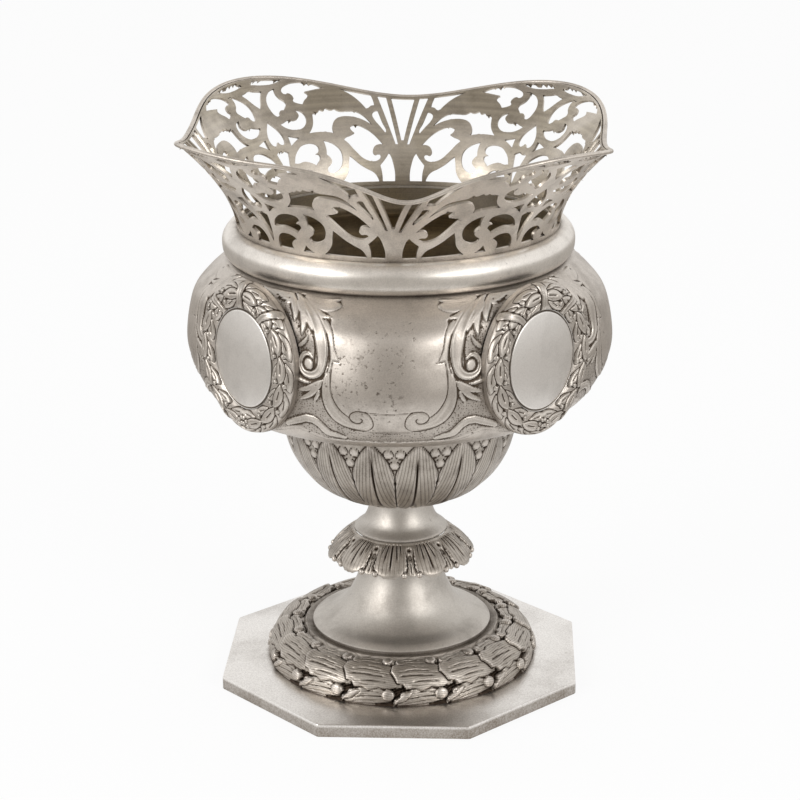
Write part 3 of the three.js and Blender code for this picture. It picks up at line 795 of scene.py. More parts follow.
def leafBowl():
    outer, lengths = measured(smoothLine(bowl["outline"], 120))
    full = lengths[-1]
    s = np.linspace(0, full, bowl["rows"] + 1)
    line = pointsAt(outer, lengths, s)
    normals = lineNormals(line)
    sector = 360 / bowl["leaves"]
    halfSector = math.radians(sector / 2)
    azimuths = np.linspace(0, sector, bowl["columns"] + 1)
    # x is measured from the middle of the leaf, at the true radius
    sheet = sheetOf(np.radians(azimuths[:, None] - sector / 2) * line[None, :, 0], s[None, :])
    x, y, h = sheet["x"], sheet["y"], sheet["h"]
    half = halfSector * line[None, :, 0]
    part = y / full
    # pointed arch of the leaf: full width at first, closing to a tip under the ledge
    parting, tip = bowl["parting"], bowl["tip"]
    arch = half * np.clip(1 - np.clip((part - parting) / (tip - parting), 0, 1) ** 1.7, 0, 1) ** 0.8
    onLeaf = np.abs(x) < arch
    swell = 0.3 * np.clip(1 - (np.abs(x) / np.maximum(arch, 0.1)) ** 2, 0, 1)
    h += np.where(onLeaf, 0.25 + swell, 0.0) * fade(part, 0.02, 0.12)
    ribWidth = 0.6 - 0.32 * part
    h -= 0.75 * np.exp(-((x / ribWidth) ** 2)) * fade(part, 0.03, 0.1) * (1 - fade(part, 0.72, 0.88))
    # the leaf's outline is a fine chased line
    width, depth = bowl["leafLine"]
    steep = fade(part, parting - 0.02, parting + 0.02)
    h -= depth * np.exp(-(((np.abs(x) - arch) / width) ** 2)) * steep * (part < tip + 0.01)
    width, depth = bowl["seam"]
    side = half - np.abs(x)
    h -= depth * np.exp(-((side / width) ** 2)) * fade(part, 0.03, 0.08) * (1 - steep)
    wide, high, depth = bowl["dot"]
    h -= depth * np.exp(-((side / wide) ** 2) - (((y - (parting - 0.03) * full) / high) ** 2))
    for edge in (-1, 1):
        for aside, at in bowl["berries"]:
            rim = halfSector * float(np.interp(at * full, lengths, outer[:, 0]))
            raiseBerry(sheet, edge * (rim - aside), at * full, *bowl["berry"])
    h = sheet["h"]
    h *= 1 - fade(part, 0.955, 0.99)
    # fine veins fan out from the rib
    q = np.abs(x) / np.maximum(half, 0.1)
    veins = q * (5.2 + 4.4 * part) - (1 - part) * 7 * q**0.5
    wear = wearOf(h, *bowl["wear"])
    front = roundThe(azimuths, line, normals, h - 0.2 * fade(part, 0.02, 0.12))
    inner = line - normals * bowl["thick"]
    inner[0] = bowl["innerFoot"]
    inner[-1, 1] = bowl["innerTop"]
    marks = {
        "wear": (wear, bowl["backWear"]),
        "veins": (np.where(onLeaf, veins, 0), 0),
        "veined": (onLeaf * fade(part, 0.03, 0.1), 0),
        "inside": (0 * x, 1),
    }
    piece = layShell("bowl_chased", front, [roundThe(azimuths, inner[::-3])], marks)
    return ringOfCopies(piece, bowl["leaves"])


def bowlFloor():
    # the bowl's bottom disc, seen only from above
    return spinSection("bowl_floor", bowl["floor"], bowl["floorTurns"])


print("body belt")
belt = {
    "foot": [
        (40.6, 97.5), (43.94, 97.5), (53.06, 98.46), (60.06, 100.62), (65.53, 105.18), (69.48, 112.62),
        (71, 121.5), (68.63, 134.9), (63.72, 141.87), (56.99, 147.23), (53.53, 148.7),
    ],
    "neck": [(53.53, 148.7), (52.8, 149.8), (52.8, 157.5)],
    # how far the corners between the panels lie back, and where that starts, is full, ends and is over
    "recess": 7.5,
    "recessShares": (0.04, 0.4, 0.62, 0.98),
    "panelHigh": 50.8,
    "thick": 1.25,
    "innerFoot": (40, 98.1),
    "innerNeck": (52, 149.5, 157.5),
    # below this the sheet is plain, under the bowl's edge
    "plainTo": 20,
    "plainStep": 1.25,
    "fineFrom": 2.4,
    "fineTo": 31.5,
    "fineStep": 0.21,
    "rowStep": 0.3,
    # depth of the ground, then pitch, depth and seed of its punch marks
    "ground": 0.42,
    "matting": (0.78, 0.12, 5),
    "mattedFrom": 0.2,
    "mattedAll": 0.36,
    # the whole relief is scaled by this
    "shallow": 0.42,
    # mm up the sheet between which the relief starts and ends
    "starts": (19, 21),
    "ends": (74.8, 75.6),
    "wear": (3, 0.95),
    "innerWear": 0.42,
}

# The chasing of half a panel, traced: degrees from the panel's middle, mm up the sheet
scroll = {
    "cBand": [
        (28.5, 71.6), (25.2, 69), (22.2, 65.8), (19.9, 62), (18.6, 58), (18, 54), (17.9, 50.5), (18.4, 47.8),
        (19.8, 46), (21.9, 45.4), (23.9, 46.1), (24.9, 48.1), (24.7, 50.3), (23.6, 51.7), (22.2, 51.9),
        (21, 51.1),
    ],
    "cWidths": [0.9, 1.6, 2.1, 2.5, 2.7, 2.7, 2.5, 2.1, 1.7, 1.4, 1.2, 1.1, 0.9, 0.8, 0.7, 0.5],
    "cOuter": [
        (30, 73.8), (27.5, 71.7), (25, 70), (22, 67.4), (19.4, 64), (17.3, 60), (16.1, 56), (15.6, 52),
        (15.8, 49), (16.8, 46.5), (18.5, 44.7), (21.2, 43.8), (23.8, 44.3), (26, 46),
    ],
    "cInner": [(21.2, 60.2), (20.7, 58), (20.4, 55), (20.3, 52), (20.4, 50.2)],
    # degrees, mm up, radius, then height of the dome, its base and the ring round it
    "cEye": (22.1, 48.8, 1.75, 0.14, 0.5, 0.22),
    "eyeRing": [
        (20.4, 50.6), (20.2, 48.6), (21, 47.2), (22.5, 47), (23.8, 48), (23.9, 49.5), (23, 50.6), (21.8, 50.9),
    ],
    "shieldEdge": [(17.8, 64.6), (16.3, 62.6), (15.2, 60), (14.6, 57), (14.1, 54.4), (12.7, 50.9)],
    "cusp": [(12.7, 50.9), (13.8, 51), (14.7, 51.1)],
    "beadLine": [(17, 59.2), (16.1, 55.6), (15.5, 51.4)],
    # how many, size squared, depth
    "beads": (9, 0.16, 0.34),
    # lines cut before and after the eye of the scroll: steps, width, depth, taper
    "firstCuts": {"cOuter": (40, 0.30, 0.52), "cInner": (20, 0.28, 0.45), "eyeRing": (30, 0.2, 0.45, 0.2)},
    "laterCuts": {
        "shieldEdge": (24, 0.17, 0.42), "cusp": (0, 0.17, 0.4, 0.2), "lowInner": (34, 0.2, 0.48),
        "lowOuter": (80, 0.2, 0.46), "join": (8, 0.18, 0.36, 0), "ledgeLine": (40, 0.22, 0.28, 0),
    },
    # steps, half width, rise, crown, rib, veins, bluntness and where it is widest
    "leaves": {
        "topLeaf": (18, 2.7, (-0.2, 0.55), 0.35, 0.22, 1, 0.42, 0.62),
        "topLeafCurl": (12, 1, (0, 0.7), 0.3, 0.15, 0, 0.6, 0.7),
        "pointLeaf": (14, 1.25, (-0.2, 0.5), 0.3, 0.2, 0.9, 0.8, 0.7),
    },
    "plume": ((0.35, 0), 0.45, 0.3, 0.9, 0.6, 0.7),
    "lobe": ((0, 0.1), 0.15, 0.2, 0, 0.5, 0.8),
    # level, hollow and width of the lip of each band
    "bands": {"lowBand": (0.34, 0.34, 0.35), "cBand": (0.62, 0.42, 0.32), "strap": (0.42, 0.2, 0.4)},
    "stripLevel": 0.22,
    "holeDepth": 0.6,
    "lowBand": [
        (15.9, 48.6), (16.3, 45.2), (16.4, 41.2), (15.9, 37.7), (14.8, 34.9), (13.3, 32.5), (11.5, 31),
        (9.6, 30.1), (7.4, 29.7), (5.9, 30.4), (5.2, 32), (5.8, 33.7), (7.3, 34.5), (8.9, 34), (9.4, 32.8),
        (8.5, 31.8), (7.5, 32.2),
    ],
    "lowWidths": [0.5, 1.1, 1.65, 1.85, 1.9, 1.85, 1.7, 1.5, 1.25, 1.1, 1, 0.9, 0.8, 0.7, 0.55, 0.5, 0.4],
    "lowInner": [
        (14.7, 51.1), (15.1, 47), (15.2, 43), (14.8, 40), (13.8, 37.4), (12.6, 35.3), (11.3, 33.9), (10.3, 33),
    ],
    "lowOuter": [
        (16.9, 46.6), (17.6, 43), (17.8, 39.4), (17.3, 35.8), (16.1, 33), (14.5, 30.9), (12.4, 29.3),
        (10, 28.4), (7.1, 28), (5.4, 28.4), (4.3, 29.8), (4.1, 31.5), (4.5, 33.5), (5.5, 35.1), (7.1, 35.7),
        (8.8, 35.4), (10, 34.3), (10.3, 33), (9.7, 31.7), (8.5, 31), (7.3, 31.4), (6.9, 32.5), (7.6, 33.2),
    ],
    "join": [(0, 35), (3, 35.2), (5.9, 35.5)],
    # mm by which the drawing moves up, and the heights where that starts, is full, ends and is over
    "lift": (2.4, 24, 29, 72, 76),
    "topLeaf": [(27.5, 72.2), (22.5, 70.4), (18, 69.6), (14.6, 70.3)],
    "topLeafCurl": [(21, 71.8), (17.5, 71.6), (15.2, 72.7)],
    "pointLeaf": [(25.5, 69.3), (21, 66.6), (18.5, 65.5), (16.2, 65.4)],
    "plumes": [
        ([(31, 73.8), (28.2, 70.8), (26.2, 67.6), (25.1, 64), (24.6, 60.6), (24.7, 57.6)], 1.55),
        ([(33.6, 73.6), (31.2, 70.6), (29.4, 68), (28.3, 65.2), (27.9, 62.2)], 1.6),
        ([(29, 70.2), (26.4, 66.8), (23.6, 63.6), (22, 61), (21.4, 59.6)], 1.25),
        ([(37, 74), (34.5, 72), (32.9, 70.2), (31.6, 67.8)], 1.3),
        ([(41, 74), (38, 72.6), (35.6, 71), (33.6, 69.4)], 1.2),
        ([(45, 73.2), (41.5, 72.2), (38.6, 70.8), (36.6, 69.6)], 1.1),
        ([(25.9, 53.6), (24.4, 55), (23.2, 56.6), (22.5, 58.4)], 0.6),
        ([(17.7, 44.4), (20.2, 42.2), (22.6, 40.8), (25.6, 39.8)], 0.95),
        ([(17.9, 43.6), (20, 40.8), (22.2, 38.6), (25.4, 36.6)], 0.95),
        ([(26.5, 43.5), (24.6, 43.2), (22.6, 42.9), (21.2, 43.2)], 0.55),
        ([(18.4, 41.2), (19.2, 39.2), (20, 37.6), (20.6, 35.8)], 0.6),
    ],
    "holes": [
        (21.4, 59.6, 0.55), (32.2, 70.4, 0.6), (31.2, 68.4, 0.4), (23, 42.1, 0.5), (20, 37.3, 0.5),
        (26.2, 60.6, 0.4), (23.2, 26, 0.4), (17, 27.2, 0.35),
    ],
    "strap": [
        (12.6, 25.6), (15, 26.2), (17.3, 26.7), (19.2, 28.6), (21, 30), (23.4, 30.2), (25.4, 29.2),
        (27.2, 28.4), (30, 27.4),
    ],
    "strapWidths": [0.7, 1.2, 1.35, 1.2, 1.3, 1.4, 1.25, 1.3, 1.2],
    "lobes": [(-1.6, 1), (1.4, 0.8), (3.6, 1.1), (6.8, 0.9), (9.2, 1.2), (12.2, 0.9)],
    "ledgeLine": [
        (0, 21.6), (8, 21.7), (14, 22.2), (18, 23.2), (22, 25), (26, 26.4), (30, 25.8), (34, 24.2), (40, 21.4),
        (45, 19.6),
    ],
    "matGround": [
        (16, 64), (17.6, 66.4), (22, 68.5), (24, 76.5), (46, 76.5), (46, 24), (36, 23), (30, 26.6), (26, 27.2),
        (22, 26), (18, 24.2), (13, 24.5), (0, 24), (0, 28), (6, 28), (12, 29.2), (15, 31.4), (17, 35),
        (17.8, 40), (17.2, 45), (16, 50), (15.8, 56), (17.2, 60),
    ],
    "beadStrip": [
        (17.9, 64.5), (16.3, 62.6), (15.2, 60), (14.6, 57), (14.1, 54.4), (12.7, 50.9), (14.7, 51.1),
        (15, 48.5), (16, 47.2), (15.5, 51.5), (16.1, 56), (17.3, 60), (19.4, 64),
    ],
}


def recessAt(azimuths, height):
    starts, full, ends, over = belt["recessShares"]
    rise = (height - levels["bodyBottom"]) / belt["panelHigh"]
    depth = belt["recess"] * fade(rise, starts, full) * (1 - fade(rise, ends, over))
    return depth * 0.5 * (1 - np.cos(4 * np.radians(azimuths)))


def chaseHalfPanel(degrees, s, radiusAt):
    # heights of the chasing for 0..45 degrees from the panel's middle
    lift, above, wholly, less, none = scroll["lift"]

    def spot(point):
        up = point[1] + lift * float(fade(point[1], above, wholly) * (1 - fade(point[1], less, none)))
        return (math.radians(point[0]) * float(np.interp(up, s, radiusAt)), up)

    def traced(points, steps=0):
        return np.array([spot(point) for point in drawn(points, steps)])

    def cutAll(cuts):
        for name, (steps, *cut) in cuts.items():
            cutLine(sheet, traced(scroll[name], steps), *cut)

    sheet = sheetOf(np.radians(degrees)[:, None] * radiusAt[None, :], s[None, :])
    ground = within(sheet, traced(scroll["matGround"]))
    sheet["h"] = np.where(ground, -belt["ground"] - punched(sheet, *belt["matting"]), 0.0)
    sheet["h"] = blurred(sheet["h"], 1)
    sheet["h"][within(sheet, traced(scroll["beadStrip"]))] = scroll["stripLevel"]
    for name, (steps, *leaf) in scroll["leaves"].items():
        raiseLeaf(sheet, traced(scroll[name], steps), *leaf)
    for spine, wide in scroll["plumes"]:
        raiseLeaf(sheet, traced(spine, 18), wide, *scroll["plume"])
    raiseBand(sheet, traced(scroll["lowBand"], 60), scroll["lowWidths"], *scroll["bands"]["lowBand"])
    raiseBand(sheet, traced(scroll["cBand"], 60), scroll["cWidths"], *scroll["bands"]["cBand"])
    cutAll(scroll["firstCuts"])
    raiseBerry(sheet, *spot(scroll["cEye"]), *scroll["cEye"][2:])
    cutAll(scroll["laterCuts"])
    beadLine = traced(scroll["beadLine"], 20)
    beads, size, deep = scroll["beads"]
    for bx, by in evenLine(beadLine, lengthsAlong(beadLine)[-1] / (beads - 1)):
        sheet["h"] -= deep * np.exp(-((sheet["x"] - bx) ** 2 + (sheet["y"] - by) ** 2) / size)
    for *hole, size in scroll["holes"]:
        px, py = spot(hole)
        sheet["h"] -= scroll["holeDepth"] * np.exp(-((sheet["x"] - px) ** 2 + (sheet["y"] - py) ** 2) / size**2)
    for at, wide in scroll["lobes"]:
        lobe = traced([(at, 22.0), (at + 1.6, 23.0), (at + 3.0, 24.6)], 6)
        raiseLeaf(sheet, lobe, wide, *scroll["lobe"])
    raiseBand(sheet, traced(scroll["strap"], 40), scroll["strapWidths"], *scroll["bands"]["strap"])
    # nothing is raised above the ground where the moulding, frames and bowl sit on the sheet
    sheet["h"] *= fade(s, *belt["starts"])[None, :]
    sheet["h"] *= 1 - fade(s, *belt["ends"])[None, :]
    return sheet["h"]


def beltQuarter():
    fine, lengths = measured(smoothLine(belt["foot"], 400))
    full, plainTo = lengths[-1], belt["plainTo"]
    s = np.concatenate((np.arange(0, plainTo, belt["plainStep"]), np.arange(plainTo, full, belt["rowStep"]), [full]))
    line = pointsAt(fine, lengths, s)
    start, end = belt["fineFrom"], belt["fineTo"]
    dense = np.arange(start, end, belt["fineStep"])
    half = np.concatenate((np.linspace(0, start, 6)[:-1], dense, np.linspace(end, 44.5, 14), [44.95, 45.0]))
    chased = chaseHalfPanel(half, s, line[:, 0])
    matted = fade(-chased, belt["mattedFrom"], belt["mattedAll"])
    halves = (chased * belt["shallow"], wearOf(chased, *belt["wear"]), matted)
    relief, wear, matted = (np.concatenate((part[:0:-1], part)) for part in halves)
    azimuths = np.concatenate((-half[:0:-1], half))
    front = roundThe(azimuths, line, lineNormals(line), relief, recessAt(azimuths[:, None], line[None, :, 1]))
    neckLine = evenLine(smoothLine(belt["neck"], 40), 1.0)[1:]
    inner = behind(np.vstack((line[:66:4], line[66::9], neckLine)), belt["thick"])
    neckRadius, neckFrom, neckTop = belt["innerNeck"]
    inner[0], inner[-1] = belt["innerFoot"], (neckRadius, neckTop)
    inner[inner[:, 1] > neckFrom, 0] = neckRadius
    inner = inner[::-1]
    back = roundThe(azimuths, inner, recess=recessAt(azimuths[:, None], inner[None, :, 1]))
    marks = {"wear": (wear, levelWear, belt["innerWear"]), "inside": (0 * wear, 0, 1), "matted": (matted, 0, 0)}
    piece = layShell("body_quarter_front", front, [roundThe(azimuths, neckLine), back], marks)
    weld(piece)
    return piece


print("neck moulding")
neckMoulding = {
    "rise": [
        (55.5, 147.9), (56.7, 148.75), (57.8, 150.3), (58.2, 152.49), (57.95, 155.04), (56.3, 157.5),
        (54.6, 158.15),
    ],
    "seat": [(53.3, 158.2), (51.4, 158.2), (51.4, 157.55), (52.85, 157.5), (52.85, 150)],
    "turns": 180,
}


def neckRing():
    section = np.vstack((smoothLine(neckMoulding["rise"], 30), neckMoulding["seat"]))
    return spinSection("neck_moulding", section, neckMoulding["turns"])


print("medallions")
medallion = {
    "wide": 29.0,
    "high": 33.0,
    "edgeDepth": 66.5,
    "crownDepth": 67.9,
    # share of the radius, depth and width of the groove inside the edge, then how dark and wide it looks
    "groove": (0.975, 0.35, 0.016, 0.5, 0.022),
    "wear": 0.55,
    # the rings are closer together beyond this share of the radius
    "wideRings": (0.92, 19),
    "closeRings": (0.935, 8),
    "spokes": 120,
    "wall": 0.8,
}
frameOfLeaves = {
    "innerWide": 29.2,
    "innerHigh": 33.2,
    "across": [
        (0, 66), (0, 66.6), (0.4, 66.95), (1.6, 67.35), (3.9, 67.45), (5.9, 67), (7.4, 65.9), (7.9, 64.6),
        (7.9, 62.3),
    ],
    "backDepth": 62,
    "spokes": 560,
    "rows": 58,
    "groups": 7,
    # mm from the frame's outer edge, width and darkness of the line where it meets the body
    "soldered": (1.6, 0.5, 0.2),
    "backWear": 0.3,
    # stalk, tip and half width: outer leaf, inner leaf, then the broad one in the middle
    "leaves": [
        ((1.6, 6), (10.2, 8), 1.65),
        ((1.8, 2.4), (9.8, 0.3), 1.5),
        ((-0.6, 4.1), (8.2, 4.3), 1.95),
    ],
    # the middle line that the groups are spaced along, mm out from the inner edge
    "middle": 4,
    # the leaves are drawn this far below the crossing's start, on ground this deep, and end this far past the foot
    "drawnFrom": 1.2,
    "ground": 0.3,
    "past": 1.5,
    "midribFrom": 0.25,
    "midribTo": 0.7,
    # level of a leaf's two ends, height of its crown, width and depth of the line cut round it, then its midrib's
    "leaf": ((-0.3, 0.15), 0.2, 0.2, 0.42),
    "midrib": (0.24, 0.42, 0.8),
    # height of a berry's dome, its base and the ring round it, on the sides and in the spray
    "berry": (0.3, 0.15, 0.4),
    "sprayBerry": (0.3, 0.1, 0.35),
    "wear": (3, 0.62),
    # mm from the group's start, mm across, radius
    "berries": [(-0.7, 2.2, 0.7), (-0.3, 6.1, 0.7)],
    # the same, for the spray at the bottom, from the frame's lower end
    "spray": [(-0.6, 2.4, 0.7), (-1.8, 3.4, 0.7), (-0.5, 4.3, 0.7), (-2, 5.1, 0.7)],
    # the ribbon over the shoulder and the tie at the top: mm from the top and across, level
    "ribbons": [
        ([(11, -1.2), (12.2, 2.6), (13.6, 5.6), (15.2, 9.6)], 0.3),
        ([(0, -1.6), (0, 4), (0, 9.8)], 0.55),
    ],
    "ribbonWide": 1.15,
}


def outwards(sideways, height, depth):
    # a point on the first medallion's side of the vase, from its own sideways, upright and outward measures
    turn = math.radians(45)
    x = depth * math.sin(turn) + sideways * math.cos(turn)
    y = -depth * math.cos(turn) + sideways * math.sin(turn)
    return np.stack([x, y, height + levels["medallionCentre"] + 0 * x], -1)


def medallionPlate():
    around = np.linspace(0, 2 * math.pi, medallion["spokes"] + 1)[:, None]
    (wideTo, wideCount), (closeFrom, closeCount) = medallion["wideRings"], medallion["closeRings"]
    out = np.concatenate((np.linspace(0, wideTo, wideCount), np.linspace(closeFrom, 1, closeCount)))[None, :]

    def oval(out, depth):
        wide, high = medallion["wide"] / 2, medallion["high"] / 2
        return outwards(np.cos(around) * out * wide, np.sin(around) * out * high, depth + 0 * around)

    edgeDepth = medallion["edgeDepth"]
    at, deep, width, dark, darkWidth = medallion["groove"]
    crown = (medallion["crownDepth"] - edgeDepth) * (1 - out**2)
    front = oval(out, edgeDepth + crown - deep * np.exp(-(((out - at) / width) ** 2)))
    back = oval(out[:, ::-1], 0 * out + edgeDepth - medallion["wall"])
    places = np.concatenate((front, back), axis=1)
    wear = np.full(places.shape[:2], medallion["wear"])
    wear[:, :wideCount + closeCount] -= dark * np.exp(-(((out - at) / darkWidth) ** 2))
    piece = layGrid("medallion_1", places, {"wear": wear})
    weld(piece)
    return piece


def leafFrame():
    # laurel sprays run down both sides from the tied ribbon at the top to a berry spray at the bottom
    innerWide, innerHigh = frameOfLeaves["innerWide"] / 2, frameOfLeaves["innerHigh"] / 2
    angle = np.linspace(0, 2 * math.pi, frameOfLeaves["spokes"] + 1)
    across, lengths = measured(smoothLine(frameOfLeaves["across"], 60))
    t = np.linspace(0, lengths[-1], frameOfLeaves["rows"] + 1)
    out, depth = pointsAt(across, lengths, t).T
    # distance round the frame's middle line from the top, positive down the right-hand side
    fine = np.linspace(0, 2 * math.pi, 2001)
    middle = frameOfLeaves["middle"]
    reach = lengthsAlong(np.stack([(innerWide + middle) * np.sin(fine), (innerHigh + middle) * np.cos(fine)], -1))
    end = reach[-1] / 2
    x = np.interp(angle, fine, reach)
    x = np.where(x > end, x - 2 * end, x)
    sheet = sheetOf(np.abs(x)[:, None], t[None, :] - frameOfLeaves["drawnFrom"])
    sheet["h"] -= frameOfLeaves["ground"]
    groups = frameOfLeaves["groups"]
    step = end / groups
    midribAt = np.linspace(frameOfLeaves["midribFrom"], frameOfLeaves["midribTo"], 5)[:, None]
    # from the bottom up, so that every pair of leaves lies over the stalks of the next pair
    for g in reversed(range(-1, groups)):
        for stalk, tip, wide in frameOfLeaves["leaves"]:
            stalk, tip = np.add(stalk, (g * step, 0)), np.add(tip, (g * step, 0))
            if tip[0] <= end + frameOfLeaves["past"]:
                layLeaf(sheet, laurelOutline(stalk, tip, wide), *frameOfLeaves["leaf"])
                cutLine(sheet, stalk + (tip - stalk) * midribAt, *frameOfLeaves["midrib"])
    for g in range(1, groups):
        for bx, by, size in frameOfLeaves["berries"]:
            raiseBerry(sheet, g * step + bx, by, size, *frameOfLeaves["berry"])
    for bx, by, size in frameOfLeaves["spray"]:
        raiseBerry(sheet, end + bx, by, size, *frameOfLeaves["sprayBerry"])
    for line, level in frameOfLeaves["ribbons"]:
        wide, smooth = frameOfLeaves["ribbonWide"], smoothLine(line, 12)
        raiseBand(sheet, smooth, [wide, wide * 0.9, wide], level, 0.15, 0.3)
        for edge in (-1, 1):
            cutLine(sheet, smooth + lineNormals(smooth) * edge * wide * 1.1, 0.2, 0.4, 0.3)
    h = sheet["h"]
    at, width, dark = frameOfLeaves["soldered"]
    wear = wearOf(h, *frameOfLeaves["wear"], wraps=True) - dark * np.exp(-(((t - t[-1] + at) / width) ** 2))[None, :]
    h *= fade(t, 0.3, 1.0)[None, :]
    h *= (1 - fade(t, t[-1] - 2.9, t[-1] - 2.0))[None, :]

    def oval(out, depth):
        sideways, upright = np.sin(angle)[:, None] * (innerWide + out), np.cos(angle)[:, None] * (innerHigh + out)
        return outwards(sideways, upright, depth + 0 * sideways)

    front = oval(out, depth[None, :] + h)
    back = oval(np.array([out[-1], 0.0]), frameOfLeaves["backDepth"])
    piece = layShell("laurel_frame_1", front, [back], {"wear": (wear, frameOfLeaves["backWear"])})
    weld(piece)
    return piece


print("gallery")
gallery = {
    "foot": 53.3,
    "rim": 73.8,
    "lobe": 6.5,
    "height": 31.3,
    "wave": 3.8,
    "lean": 1.7,
    "leanAngle": 224,
    # mm down, mm out, degrees, width in degrees
    "frontLip": (3.9, 1.5, 5.5, 10),
    "sawTurn": 1.2,
    "shoulders": [(2, -20, 12), (1.1, 36, 15)],
    "leftLip": (1.9, 270, 15),
    "flare": 1.6,
    "sheetTop": 98.4,
    "fanTop": 96.3,
    "sheet": 0.9,
    "flatPerDegree": 1.12,
    "flatHigh": 35,
    "bendEvery": 1.5,
    # mm within which points are joined, in the flat pattern and where two lobes meet
    "cutWeld": 0.004,
    "lobeWeld": 0.02,
    "rows": 16,
    # half widths of the wire outwards and upwards
    "wire": (0.78, 0.702),
    "wireWear": 0.62,
    "wireSteps": 288,
}

# Saw pattern of half a lobe, traced: degrees from the lobe's middle, percent of the wall's height.
# A third figure of 1 makes the point a sharp corner.
sawn = {
    "fanSlit": [(5.1, 96.8, 1), (7.8, 96.8, 1), (7.3, 92), (4.9, 69), (2.4, 46.5, 1), (1.6, 46.5, 1), (3.4, 72)],
    "fanDrop": [
        (8, 81.5, 1), (9.3, 79.6), (9.8, 75.6), (9.2, 71), (7.6, 65), (5.9, 58.5, 1), (5.6, 60.5), (6.8, 70),
    ],
    "lipCorner": [
        (9.6, 96.8, 1), (18.6, 96.8, 1), (15.6, 93), (13.4, 88), (11.5, 81.5, 1), (10.7, 83), (10, 85.2),
        (8.9, 86.4, 1), (9.1, 91.5),
    ],
    "leafUnder": [
        (10.1, 65.2, 1), (12.1, 68.4), (14.4, 70.5), (17, 70.9), (19.8, 69.4), (21.9, 65.8), (23.1, 60.8),
        (23.5, 55.6), (23.3, 52.6, 1), (25, 53), (27.6, 52.9), (30, 52.2), (31.9, 51.3, 1), (30.6, 55.2),
        (29.6, 59.8), (29.1, 64.5), (28.8, 68.6, 1), (27.6, 70.8, 1), (26.8, 71), (26, 73.6, 1), (25, 72.8),
        (24.2, 75.6, 1), (22.6, 74.6), (21.4, 76.2, 1), (20.2, 74.8), (17.6, 76), (15.2, 77), (13, 74.6),
        (11.4, 70.2),
    ],
    "scrollEye": [
        (6.9, 45.6, 1), (8.3, 50.8), (10.3, 56.8), (12.6, 61.1), (14.9, 63.2), (16.4, 62.6), (17.6, 59.6),
        (17.3, 57.2), (16.4, 54.8, 1), (17.9, 52), (19.4, 50), (20.4, 47.2, 1), (19.1, 44), (17.9, 39.8),
        (16.3, 34.8), (14.6, 30.2), (12.6, 27.5), (10.5, 26.8), (8.9, 28.4), (8, 31.6), (8.1, 34.2), (9, 34.5),
        (9.9, 33.6), (10.6, 36), (10.5, 39.6), (9.8, 43.2), (8.4, 45.4),
    ],
    "columnSide": [
        (4.9, 36.5, 1), (6, 31), (8.2, 22.5, 1), (7.6, 13), (7.5, 4.6, 1), (2.8, 4.6, 1), (2.8, 14), (3.5, 26),
        (4.2, 33),
    ],
    "lowCorner": [
        (19.3, 32, 1), (18, 29), (15.8, 23.5), (13.4, 19), (10.5, 14), (9.2, 8), (8.8, 4.6, 1), (23.6, 4.6, 1),
        (21.8, 10), (20.6, 16), (20, 24),
    ],
    "crescentRight": [
        (27.8, 45.4, 1), (25.8, 44.4), (23.8, 41.6), (22.3, 37), (21.9, 31.5), (22.2, 25.5), (23.2, 20),
        (24.9, 16.4), (27, 15), (28.4, 16.6), (28.4, 19.6), (27.6, 21.6, 1), (26.9, 23.2), (26.3, 26.4),
        (26.7, 29.6), (27.8, 32.4, 1), (27.5, 36), (27.5, 40.6),
    ],
    "crescentLeft": [
        (30.4, 40.6), (31.8, 42.5), (33.8, 42.6), (36.2, 40.8), (38.2, 37.4), (40.2, 32.4), (41.4, 26.6, 1),
        (39.8, 26), (37.2, 27), (34.8, 25.6), (32.6, 22.8, 1), (31.6, 25.6), (30.5, 29), (30.5, 31.8),
        (31.8, 33.2, 1), (30.6, 35), (30.1, 38),
    ],
    "scrollLow": [
        (42.4, 4.6, 1), (42.4, 9.4), (41.6, 14.8), (39.9, 18.9), (37.4, 20.2), (35, 18.8), (33.4, 15.4, 1),
        (34.6, 14.2), (35.8, 12.4), (36.2, 8.8), (35.6, 4.6, 1),
    ],
    "roundScroll": [
        (33.9, 71.6, 1), (32.2, 70.8), (31.2, 67.4), (31.3, 62.8), (32.4, 58.4), (34.2, 55.2), (36.4, 54.4),
        (38.8, 55.6), (40.6, 58.8), (40.9, 60, 1), (38.9, 61.6), (37.6, 63), (36.6, 62.9), (35.2, 62.8),
        (33.9, 64.6), (33.3, 67.4), (33.6, 69.8),
    ],
    "leafDrop": [
        (37.2, 89.4, 1), (37.4, 86.2), (37, 82), (35.6, 77.4), (36.3, 74.4), (37.4, 71.2, 1), (38.8, 70.6),
        (39.2, 68.2, 1), (40.2, 66.2), (41.2, 67.4), (41.8, 71.4), (41.9, 76.2), (41.2, 81.2), (39.8, 85.4),
        (38.4, 88.2),
    ],
    "rimScroll": [
        (23.2, 94.2, 1), (24.9, 96.2), (27.6, 96.9), (30.2, 96.2), (33, 93.4), (34.9, 89.4), (35.4, 86.2),
        (34.7, 84.6), (33.8, 85.6), (32.9, 84.2), (32.7, 81.4), (33.2, 79), (32.4, 77.4), (30.7, 76.6, 1),
        (29.9, 79.8), (28.4, 84), (28, 86.4), (28.7, 88.2, 1), (27.2, 89.8), (25.4, 91.8),
    ],
    "smallTriangle": [(36.2, 47.6, 1), (38.4, 49), (40.2, 50, 1), (40.2, 46), (40.3, 41.2, 1), (38.4, 44.4)],
    "rimSliver": [
        (33.9, 97, 1), (38.6, 97), (42.4, 97, 1), (42.6, 95.4), (43.6, 94.4), (42.2, 93), (39.8, 92.3),
        (37.2, 93), (35.2, 95),
    ],
    "baseTriangle": [(30.6, 11, 1), (29.2, 7.4), (27.4, 4.6, 1), (31.8, 4.6, 1)],
}
